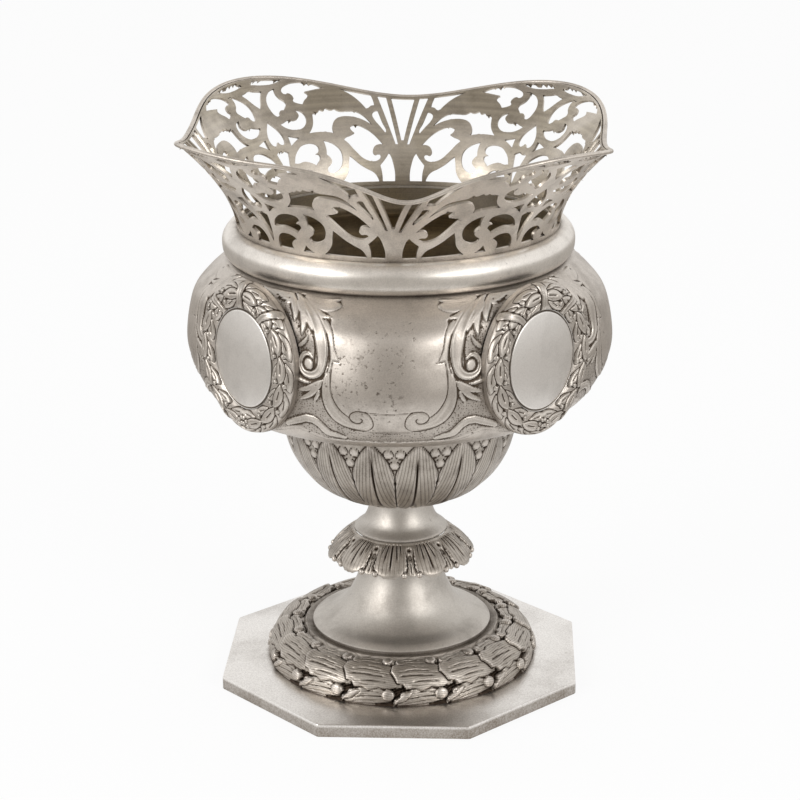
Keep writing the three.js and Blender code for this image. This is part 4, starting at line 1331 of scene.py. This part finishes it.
# Holes that lie across the corner between two lobes, half of each
sawnAcross = {
    "cornerWedge": [(45, 38.6), (43.6, 38.2), (42.3, 36.4, 1), (42.8, 31), (43.6, 23), (44.5, 12), (45, 8.4, 1)],
    "cornerDrop": [
        (45, 63.5, 1), (44, 60.5), (42.6, 55.5), (41.9, 50.5), (42, 46.2), (43, 43.4), (44.2, 43.8),
        (45, 46.2, 1),
    ],
    "cornerPeak": [(45, 89.6), (43.6, 88.6), (41.4, 87.6, 1), (42.6, 83), (43.7, 78), (45, 73.8, 1)],
}


def nearAngle(azimuth, centre, width):
    away = (np.asarray(azimuth) - centre + 180) % 360 - 180
    return np.exp(-((away / width) ** 2))


def rimAt(azimuth):
    # bent by hand: it leans, the front lip dips deeper between raised shoulders, and the left lip reaches further
    turn = np.radians(azimuth)
    drop, reach, angle, width = gallery["frontLip"]
    front = nearAngle(azimuth, angle, width)
    shoulders = sum(rise * nearAngle(azimuth, angle, width) for rise, angle, width in gallery["shoulders"])
    leftReach, angle, width = gallery["leftLip"]
    lobe = np.cos(4 * turn)
    radius = gallery["rim"] - gallery["lobe"] * lobe + reach * front + leftReach * nearAngle(azimuth, angle, width)
    lean = gallery["lean"] * np.cos(turn - math.radians(gallery["leanAngle"]))
    height = gallery["height"] - gallery["wave"] * lobe + lean - drop * front + shoulders
    return radius, height


def galleryAt(azimuth, share):
    rimRadius, rimHeight = rimAt(azimuth)
    radius = gallery["foot"] + (rimRadius - gallery["foot"]) * np.power(np.clip(share, 0, None), gallery["flare"])
    turn = np.radians(azimuth)
    return np.stack([radius * np.sin(turn), -radius * np.cos(turn), levels["galleryBottom"] + rimHeight * share], -1)


def addOutline(curve, points):
    spline = curve.splines.new("BEZIER")
    spline.bezier_points.add(len(points) - 1)
    for knot, point in zip(spline.bezier_points, points):
        knot.co = (point[0] * gallery["flatPerDegree"] * mm, point[1] / 100 * gallery["flatHigh"] * mm, 0)
        sharp = len(point) > 2 and point[2] == 1
        knot.handle_left_type = knot.handle_right_type = "VECTOR" if sharp else "AUTO"
    spline.use_cyclic_u = True


def mirrored(points):
    return [(90 - point[0], *point[1:]) for point in reversed(points)]


def galleryLobe():
    # the saw pattern is drawn flat, from the middle of one lobe to the middle of the next
    curve = bpy.data.curves.new("saw_pattern", "CURVE")
    curve.dimensions = "2D"
    curve.fill_mode = "BOTH"
    curve.resolution_u = 5
    top, fanTop = gallery["sheetTop"], gallery["fanTop"]
    # the sheet's own outline, with half the middle slit of the fan
    half = [(0, 0, 1), (0, 51, 1), (0.4, 51, 1), (3.6, fanTop, 1), (0, fanTop, 1), (0, top, 1)]
    addOutline(curve, half + mirrored(half))
    for outline in sawn.values():
        addOutline(curve, outline)
        addOutline(curve, mirrored(outline))
    for outline in sawnAcross.values():
        addOutline(curve, outline + [point for point in mirrored(outline) if abs(point[0] - 45) > 0.01])
    flat = bpy.data.objects.new("saw_pattern", curve)
    bpy.context.scene.collection.objects.link(flat)
    takeUp(flat)
    bpy.ops.object.convert(target="MESH")
    piece = bpy.context.object
    # cross cuts let the flat sheet bend
    wide, high, rows = 90 * gallery["flatPerDegree"] * mm, gallery["flatHigh"] * mm, gallery["rows"]
    columns = round(90 / gallery["bendEvery"])
    cuts = [((wide * k / columns, 0, 0), (1, 0, 0)) for k in range(1, columns)]
    cuts += [((0, high * k / rows, 0), (0, 1, 0)) for k in range(1, rows)]
    openUp(piece)
    for place, facing in cuts:
        bpy.ops.mesh.select_all(action="SELECT")
        bpy.ops.mesh.bisect(plane_co=place, plane_no=facing)
    bpy.ops.mesh.select_all(action="SELECT")
    bpy.ops.mesh.remove_doubles(threshold=gallery["cutWeld"] * mm)
    closeUp()
    return piece


def bendOntoWall(piece, firstDegree):
    flat = pointsOf(piece) / mm
    azimuth = flat[:, 0] / gallery["flatPerDegree"] + firstDegree
    movePoints(piece, galleryAt(azimuth, flat[:, 1] / gallery["flatHigh"]))


def looksInward(places, normals):
    return (np.array(places) * np.array(normals))[:, :2].sum(1) < 0


def piercedGallery():
    lobes = [galleryLobe()]
    for _ in range(3):
        takeUp(lobes[0])
        bpy.ops.object.duplicate(linked=False)
        lobes.append(bpy.context.object)
    for k, lobe in enumerate(lobes):
        bendOntoWall(lobe, 90 * k + gallery["sawTurn"])
    takeUp(*lobes)
    bpy.ops.object.join()
    piece = named(bpy.context.object, "pierced_gallery")
    openUp(piece)
    bpy.ops.mesh.remove_doubles(threshold=gallery["lobeWeld"] * mm)
    closeUp()
    # the bent sheet looks outwards before it gets its thickness
    faces = piece.data.polygons
    if looksInward([face.center for face in faces], [face.normal for face in faces]).mean() > 0.5:
        piece.data.flip_normals()
    applyModifier(piece, "SOLIDIFY", thickness=gallery["sheet"] * mm, offset=-1, use_even_offset=False)
    points = piece.data.vertices
    markPoints(piece, "inside", looksInward([point.co for point in points], [point.normal for point in points]))
    return piece


def rimWire():
    steps = gallery["wireSteps"]
    azimuths = np.linspace(0, 360, steps + 1)
    middle = galleryAt(azimuths, np.ones(steps + 1))
    turn = np.radians(azimuths)
    outward = np.stack([np.sin(turn), -np.cos(turn), 0 * turn], -1)
    run = np.gradient(middle, axis=0)
    run[0] = run[-1] = middle[1] - middle[-2]
    upward = np.cross(run, outward)
    upward *= np.where(upward[:, 2] < 0, -1, 1)[:, None] / np.linalg.norm(upward, axis=1)[:, None]
    girth = np.linspace(0, 2 * math.pi, 17)
    out, up = (part(girth)[None, :, None] * half for part, half in zip((np.cos, np.sin), gallery["wire"]))
    places = middle[:, None, :] + outward[:, None, :] * out + upward[:, None, :] * up
    piece = layGrid("rim_wire_drawn", places, {"wear": np.full(places.shape[:2], gallery["wireWear"])})
    weld(piece)
    return piece


print("materials")


def toLinear(hexColour):
    channels = [int(hexColour[k:k + 2], 16) / 255 for k in (1, 3, 5)]
    return [c / 12.92 if c <= 0.04045 else ((c + 0.055) / 1.055) ** 2.4 for c in channels] + [1.0]


def addNode(tree, kind, settings=None, inputs=None):
    node = tree.nodes.new(kind)
    for key, value in (settings or {}).items():
        setattr(node, key, value)
    for key, value in (inputs or {}).items():
        if isinstance(value, bpy.types.NodeSocket):
            tree.links.new(value, node.inputs[key])
        else:
            node.inputs[key].default_value = value
    return node


def emptyTree(owner):
    owner.use_nodes = True
    owner.node_tree.nodes.clear()
    return owner.node_tree


def newMaterial(name):
    material = bpy.data.materials.new(name)
    return material, emptyTree(material)


def mark(tree, name):
    return addNode(tree, "ShaderNodeAttribute", {"attribute_name": name}).outputs["Fac"]


def noise(tree, place, size, detail=2.0, roughness=0.5):
    # size in metres of what the noise draws
    inputs = {"Vector": place, "Scale": 1 / size, "Detail": detail, "Roughness": roughness}
    return addNode(tree, "ShaderNodeTexNoise", {}, inputs).outputs["Fac"]


def latheLines(tree, place, size):
    # rings round the upright axis
    height = addNode(tree, "ShaderNodeSeparateXYZ", {}, {"Vector": place}).outputs["Z"]
    inputs = {"W": height, "Scale": 1 / size, "Detail": 2.0}
    return addNode(tree, "ShaderNodeTexNoise", {"noise_dimensions": "1D"}, inputs).outputs["Fac"]


def ranged(tree, value, start, end, low=0.0, high=1.0, shape="SMOOTHSTEP"):
    inputs = {"Value": value, "From Min": start, "From Max": end, "To Min": low, "To Max": high}
    return addNode(tree, "ShaderNodeMapRange", {"interpolation_type": shape}, inputs).outputs["Result"]


def maths(tree, operation, *values, clamp=False):
    settings = {"operation": operation, "use_clamp": clamp}
    return addNode(tree, "ShaderNodeMath", settings, dict(enumerate(values))).outputs[0]


def mixed(tree, share, first, second):
    return addNode(tree, "ShaderNodeMix", {"data_type": "RGBA"}, {0: share, 6: first, 7: second}).outputs[2]


def metalSurface(tree, colour, roughness, height, distance):
    bump = addNode(tree, "ShaderNodeBump", {}, {"Height": height, "Distance": distance, "Strength": 1.0})
    inputs = {"Base Color": colour, "Metallic": 1.0, "Roughness": roughness, "Normal": bump.outputs["Normal"]}
    shader = addNode(tree, "ShaderNodeBsdfPrincipled", {}, inputs)
    addNode(tree, "ShaderNodeOutputMaterial", {}, {"Surface": shader.outputs["BSDF"]})


# What the finishes share. Sizes and heights are in metres
plainFinish = {
    "tarnish": "#6f665d", "stain": ("#a69882", "#efe0bc"), "roughness": (0.38, 0.54),
    "cloud": 0.012, "cloudShare": 0.26, "grain": 0.0005, "grainHeight": 0.00001, "speckle": 0.14,
    "dent": 0.012, "dentHeight": 0.00009, "pits": 0.5, "tarnishAndShadeInCrevices": 0.75, "turning": 0,
    # where the pits are densest, and how far that reaches
    "worst": (0.0, 0.0, -1.0), "worstReach": (0.026, 0.006),
}
silverFinishes = {
    # spun and burnished by hand, then years of polishing: soft sheen, faint turning lines, a little grey bloom
    "spun sterling silver, old polish": {
        "clean": "#cbc5bd", "worn": "#dad4cc", "roughness": (0.44, 0.58), "cloud": 0.014, "cloudShare": 0.30,
        "dent": 0.011, "dentHeight": 0.0001, "tarnishAndShadeInCrevices": 0.8, "turning": 0.000006,
    },
    # a lit copy of the spun finish: the thick moulding is painted paler than the foot to stand for the light it
    # catches
    "drawn sterling silver, painted paler": {
        "clean": "#f0eae2", "worn": "#f6f1ea", "roughness": (0.36, 0.50), "cloud": 0.014, "speckle": 0.12,
        "dent": 0.011, "dentHeight": 0.0001, "tarnishAndShadeInCrevices": 0.8, "turning": 0.000006,
    },
    # rolled sheet with a frosted, slightly pitted face that sparkles in fine grains; its tarnish colour also paints
    # the shade on the plinth's sides
    "rolled silver sheet, frosted": {
        "clean": "#f2eee9", "worn": "#f7f4ef", "tarnish": "#857b70", "roughness": (0.26, 0.42), "cloud": 0.020,
        "cloudShare": 0.22, "grain": 0.00055, "grainHeight": 0.00003, "speckle": 0.24,
        "dent": 0.016, "dentHeight": 0.00006,
    },
    # raised and chased with punches: bright where hands rub it, brown-black in the cuts
    "chased sterling silver, oxidised": {
        "clean": "#d3cbc2", "worn": "#dad3ca", "tarnish": "#564b40", "cloud": 0.010, "grain": 0.00045,
        "grainHeight": 0.000012, "speckle": 0.16, "dent": 0.008, "pits": 0.85, "tarnishAndShadeInCrevices": 0.45,
        "worst": (-0.007, -0.072, 0.127),
    },
    # struck in a die and soldered on: crisp leaves with dark outlines
    "die-struck silver, oxidised": {
        "clean": "#beb6ac", "worn": "#d6cec5", "tarnish": "#4a3f36", "cloud": 0.007, "cloudShare": 0.28,
        "grain": 0.0004, "grainHeight": 0.000012, "speckle": 0.16, "dent": 0.005, "dentHeight": 0.00005,
        "tarnishAndShadeInCrevices": 0.6,
    },
    # domed and satin finished: the smoothest, brightest face of the vase
    "domed sterling silver, satin": {
        "clean": "#f6f2ed", "worn": "#f9f6f2", "tarnish": "#6f665c", "roughness": (0.36, 0.46), "cloudShare": 0.18,
        "grainHeight": 0.000007, "speckle": 0.08, "dentHeight": 0.00007, "pits": 0.2, "tarnishAndShadeInCrevices": 0.9,
    },
    # sawn from sheet with a piercing blade, the inner face left to tarnish
    "saw-pierced silver sheet": {
        "clean": "#e2d9ce", "worn": "#eae2d8", "tarnish": "#4b4137", "stain": ("#8b8070", "#cbc0aa"),
        "roughness": (0.40, 0.54), "cloudShare": 0.34, "grain": 0.0004, "dentHeight": 0.00008,
    },
}


def silver(name):
    look = {**plainFinish, **silverFinishes[name]}
    material, tree = newMaterial(name)
    place = addNode(tree, "ShaderNodeTexCoord").outputs["Object"]
    wear, inside, veins, veined, matted = (
        mark(tree, each) for each in ("wear", "inside", "veins", "veined", "matted")
    )
    cloud = noise(tree, place, look["cloud"], 5.0, 0.6)
    speck = noise(tree, place, 0.0017, 4.0, 0.7)
    patch = noise(tree, place, 0.019)
    grain = noise(tree, place, look["grain"], 2.0, 0.7)
    dent = noise(tree, place, look["dent"])
    openness = addNode(tree, "ShaderNodeAmbientOcclusion", {"samples": 6}, {"Distance": 0.0028}).outputs["AO"]
    # oxide gathers in cuts; ambient occlusion paints shade into corners, crevices and the gaps between parts,
    # standing partly for tarnish there; bloom lies in clouds
    cut = ranged(tree, wear, 0.46, 0.10)
    creviceTarnishAndShade = ranged(tree, openness, 0.85, 0.30, 0.0, look["tarnishAndShadeInCrevices"])
    bloom = ranged(tree, cloud, 0.42, 0.72, 0.0, look["cloudShare"])
    dirtAndShade = maths(tree, "ADD", maths(tree, "MAXIMUM", cut, creviceTarnishAndShade), bloom, clamp=True)
    soiledAndShaded = maths(tree, "ADD", dirtAndShade, ranged(tree, grain, 0.35, 0.65, 0.0, look["speckle"]), clamp=True)
    # small dark pits, more of them in some places than others, and the most round the worst place
    away = addNode(tree, "ShaderNodeVectorMath", {"operation": "DISTANCE"}, {0: place, 1: look["worst"]})
    worst = ranged(tree, away.outputs["Value"], *look["worstReach"], 0.0, 0.07)
    pit = ranged(tree, maths(tree, "ADD", speck, worst), 0.59, 0.73, 0.0, look["pits"])
    pitHere = maths(tree, "MULTIPLY_ADD", worst, 10.0, ranged(tree, patch, 0.45, 0.62, 0.1, 1.0), clamp=True)
    pits = maths(tree, "MULTIPLY", pit, pitHere)
    dark = maths(tree, "MAXIMUM", soiledAndShaded, pits)
    # fine chased veins, drawn by a phase that the piece carries
    wave = maths(tree, "SINE", maths(tree, "MULTIPLY", veins, 2 * math.pi))
    veinHere = maths(tree, "MULTIPLY", ranged(tree, wave, 0.25, 1.0, 0.0, 0.46, "LINEAR"), veined)
    # matting: the cut ground is covered with small round punch marks
    dots = addNode(tree, "ShaderNodeTexVoronoi", {}, {"Vector": place, "Scale": 1 / 0.00075, "Randomness": 0.7})
    matting = maths(tree, "MULTIPLY", ranged(tree, dots.outputs["Distance"], 0.45, 0.1, 0.15, 0.8), matted)
    marked = maths(tree, "ADD", dark, matting, clamp=True)
    darker = maths(tree, "ADD", marked, veinHere, clamp=True)
    bright = mixed(tree, ranged(tree, wear, 0.52, 0.85), toLinear(look["clean"]), toLinear(look["worn"]))
    # the unseen inside is never polished: brown and dull gold tarnish, with the turning lines of the lathe
    stainHere = maths(tree, "MULTIPLY", ranged(tree, patch, 0.35, 0.65, 0.35, 0.8), inside)
    stain = mixed(tree, latheLines(tree, place, 0.0011), *(toLinear(tone) for tone in look["stain"]))
    toned = mixed(tree, stainHere, bright, stain)
    colour = mixed(tree, darker, toned, toLinear(look["tarnish"]))
    dull = maths(tree, "ADD", darker, maths(tree, "MULTIPLY", cloud, 0.55), clamp=True)
    sheen = ranged(tree, dull, 0.1, 1.0, *look["roughness"], "LINEAR")
    rough = maths(tree, "MULTIPLY_ADD", inside, -0.07, sheen)
    heights = [
        (grain, look["grainHeight"]), (dent, look["dentHeight"]),
        (veinHere, -0.00012), (pits, -0.00003), (matting, -0.00007),
    ]
    if look["turning"]:
        heights.append((latheLines(tree, place, 0.0006), look["turning"]))
    level = None
    for socket, height in heights:
        raised = maths(tree, "MULTIPLY", socket, height / mm)
        level = maths(tree, "ADD", level, raised) if level else raised
    metalSurface(tree, colour, rough, level, mm)
    return material


def turnedSteel():
    # bright mild steel turned on a lathe, gone grey, with fine tool rings and a few rust freckles
    material, tree = newMaterial("turned mild steel, greyed")
    place = addNode(tree, "ShaderNodeTexCoord").outputs["Object"]
    rust = noise(tree, place, 0.002, 4.0)
    colour = mixed(tree, ranged(tree, rust, 0.6, 0.75, 0.0, 0.7), toLinear("#a9a6a2"), toLinear("#6b4f3c"))
    rough = ranged(tree, rust, 0.3, 0.8, 0.32, 0.6, "LINEAR")
    metalSurface(tree, colour, rough, latheLines(tree, place, 0.0004), 0.00002)
    return material


spunSilver = silver("spun sterling silver, old polish")
drawnSilver = silver("drawn sterling silver, painted paler")
rolledSilver = silver("rolled silver sheet, frosted")
chasedSilver = silver("chased sterling silver, oxidised")
struckSilver = silver("die-struck silver, oxidised")
satinSilver = silver("domed sterling silver, satin")
sawnSilver = silver("saw-pierced silver sheet")
fixingSteel = turnedSteel()

print("putting the vase together")
for piece, node in ((plinthTopPlate(), "plinth_top_plate"), (plinthStrip(), "plinth_side_strip")):
    # the plinth's sides get painted shade, and the edge of its top a painted highlight
    shadeAndHighlightByHeight(piece, plinth["paintedShadeHeights"], plinth["wear"])
    handOver(piece, 35, rolledSilver, "plain_silver", node)
handOver(sheetRing("foot_spun", foot), 35, spunSilver, "plain_silver", "foot")
handOver(sheetRing("stem_spun", stem), 35, spunSilver, "plain_silver", "stem")
handOver(leafBorder(), 75, struckSilver, "chased_silver", "wreath_ring")
handOver(leafCollar(), 75, struckSilver, "chased_silver", "leaf_collar")

bowlPiece = leafBowl()
takeUp(bowlPiece, bowlFloor())
bpy.ops.object.join()
handOver(bowlPiece, 75, struckSilver, "chased_silver", "bowl")

for quarter in quartersOf(beltQuarter(), [f"body_quarter_{side}" for side in ("front", "right", "back", "left")]):
    handOver(quarter, 75, chasedSilver, "chased_silver", "body_shell")
# the neck moulding takes the paler, lit copy of the spun finish
handOver(neckRing(), 35, drawnSilver, "plain_silver", "neck_ring")

plates = quartersOf(medallionPlate(), [f"medallion_{k}" for k in (1, 2, 3, 4)])
frames = quartersOf(leafFrame(), [f"laurel_frame_{k}" for k in (1, 2, 3, 4)])
for k in range(4):
    handOver(plates[k], 50, satinSilver, "satin_silver", f"medallion_plate_{k + 1}")
    handOver(frames[k], 75, chasedSilver, "chased_silver", f"medallion_wreath_{k + 1}")

handOver(piercedGallery(), 40, sawnSilver, "pierced_silver", "gallery")
handOver(rimWire(), 50, sawnSilver, "pierced_silver", "rim_wire")

for name in ("tie_rod", "washer", "nut"):
    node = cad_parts[name]
    for slot in node.material_slots:
        slot.link = "OBJECT"
        slot.material = fixingSteel

print("studio")
studio = {
    "lens": 102.35,
    "distance": 763.62,
    "aim": 112.5,
    # in radians, like the roll; the azimuth is in degrees
    "elevation": 0.3,
    "azimuth": 2.8,
    "aside": 0.4,
    "roll": 0.0076,
    "shift": (-0.0009, -0.0583),
    "worldLevel": 0.75,
    "paperGlow": 0.9,
    "paper": "#f4f4f4",
    "clothGrey": "#aca8a3",
    "ceilingGrey": "#b4b0ab",
    "roomGrey": "#9c9893",
    # all in m: the cloth's inner radius, how many times wider it ends, and its height
    "cloth": (0.24, 12, 0.002),
    # radius and height
    "ceiling": (1.5, 1.7),
    # width, height, distance and height of its middle
    "room": (2.6, 1.6, 1.7, 0.8),
    "lampsAim": 0.12,
    "lamps": [
        # azimuth, elevation, distance in m, size in m, watts
        (-50, 20, 1.3, 0.50, 6.0),
        (44, 20, 1.3, 0.46, 4.4),
    ],
}


def glow(tree, colour):
    return addNode(tree, "ShaderNodeEmission", {}, {"Color": colour, "Strength": 1.0}).outputs["Emission"]


def seenShare(tree):
    # 1 for what is seen itself, mirrored or seen through something, 0 for the light it gives to the rest
    path = addNode(tree, "ShaderNodeLightPath")
    seen = maths(tree, "MAXIMUM", path.outputs["Is Camera Ray"], path.outputs["Is Glossy Ray"])
    return maths(tree, "MAXIMUM", seen, path.outputs["Is Transmission Ray"])


def floorAndBackdrop():
    putDownAll()
    bpy.ops.mesh.primitive_plane_add(size=8, location=(0, 0, 0))
    ground = named(bpy.context.object, "floor")
    material, tree = newMaterial("white paper sweep")
    share = maths(tree, "MULTIPLY", seenShare(tree), studio["paperGlow"])
    paper = addNode(tree, "ShaderNodeBsdfDiffuse", {}, {"Color": toLinear(studio["paper"])})
    both = addNode(tree, "ShaderNodeMixShader", {}, {0: share, 1: paper.outputs["BSDF"], 2: glow(tree, (1, 1, 1, 1))})
    addNode(tree, "ShaderNodeOutputMaterial", {}, {"Surface": both.outputs["Shader"]})
    ground.data.materials.append(material)


def greyCards():
    # grey flags that only the silver mirrors: a cloth round the vase, the dim room behind the camera and a ceiling
    radius, wider, height = studio["cloth"]
    putDownAll()
    bpy.ops.mesh.primitive_circle_add(vertices=64, radius=radius, fill_type="NOTHING", location=(0, 0, height))
    cloth = named(bpy.context.object, "grey_cloth")
    openUp(cloth)
    bpy.ops.mesh.extrude_edges_move()
    bpy.ops.transform.resize(value=(wider, wider, 1), center_override=(0, 0, height))
    closeUp()
    radius, height = studio["ceiling"]
    putDownAll()
    bpy.ops.mesh.primitive_circle_add(vertices=64, radius=radius, fill_type="NGON", location=(0, 0, height))
    ceiling = named(bpy.context.object, "grey_ceiling")
    wide, high, distance, height = studio["room"]
    putDownAll()
    bpy.ops.mesh.primitive_plane_add(size=1, location=(0, -distance, height))
    bpy.ops.transform.resize(value=(wide, high, 1))
    bpy.ops.transform.rotate(value=math.pi / 2, orient_axis="X", center_override=(0, -distance, height))
    room = named(bpy.context.object, "dim_room")
    for card, colour in ((cloth, studio["clothGrey"]), (ceiling, studio["ceilingGrey"]), (room, studio["roomGrey"])):
        material, tree = newMaterial(card.name)
        addNode(tree, "ShaderNodeOutputMaterial", {}, {"Surface": glow(tree, toLinear(colour))})
        card.data.materials.append(material)
        card.visible_camera = card.visible_diffuse = card.visible_shadow = card.visible_transmission = False


def lampsAndWorld():
    world = bpy.data.worlds.new("white tent")
    bpy.context.scene.world = world
    tree = emptyTree(world)
    level = ranged(tree, seenShare(tree), 0.0, 1.0, studio["worldLevel"], 1.0, "LINEAR")
    sky = addNode(tree, "ShaderNodeBackground", {}, {"Color": (1, 1, 1, 1), "Strength": level})
    addNode(tree, "ShaderNodeOutputWorld", {}, {"Surface": sky.outputs["Background"]})
    for k, (azimuth, elevation, distance, size, watts) in enumerate(studio["lamps"]):
        turn, tilt = math.radians(azimuth), math.radians(elevation)
        away, up = distance * math.cos(tilt), studio["lampsAim"] + distance * math.sin(tilt)
        putDownAll()
        bpy.ops.object.light_add(
            type="AREA",
            location=(away * math.sin(turn), -away * math.cos(turn), up),
            rotation=(math.pi / 2 - tilt, 0, turn),
        )
        lamp = bpy.context.object
        lamp.name = f"soft_lamp_{k + 1}"
        lamp.data.size = size
        lamp.data.energy = watts


def photographCamera():
    turn, tilt = math.radians(studio["azimuth"]), studio["elevation"]
    back = np.array([math.sin(turn) * math.cos(tilt), -math.cos(turn) * math.cos(tilt), math.sin(tilt)])
    right = np.array([math.cos(turn), math.sin(turn), 0])
    up = np.cross(back, right)
    place = (back * studio["distance"] + right * studio["aside"] + [0, 0, studio["aim"]]) * mm
    cos, sin = math.cos(studio["roll"]), math.sin(studio["roll"])
    rolledRight, rolledUp = right * cos - up * sin, right * sin + up * cos
    putDownAll()
    bpy.ops.object.camera_add(location=(0, 0, 0))
    camera = bpy.context.object
    rows = np.stack([rolledRight, rolledUp, back, place], -1)
    camera.matrix_world = Matrix([*rows.tolist(), [0, 0, 0, 1]])
    camera.data.lens = studio["lens"]
    camera.data.sensor_width = 36
    camera.data.shift_x, camera.data.shift_y = studio["shift"]
    camera.data.clip_start = 0.05
    bpy.context.scene.camera = camera


floorAndBackdrop()
greyCards()
lampsAndWorld()
photographCamera()
bpy.context.scene.view_settings.view_transform = "Standard"
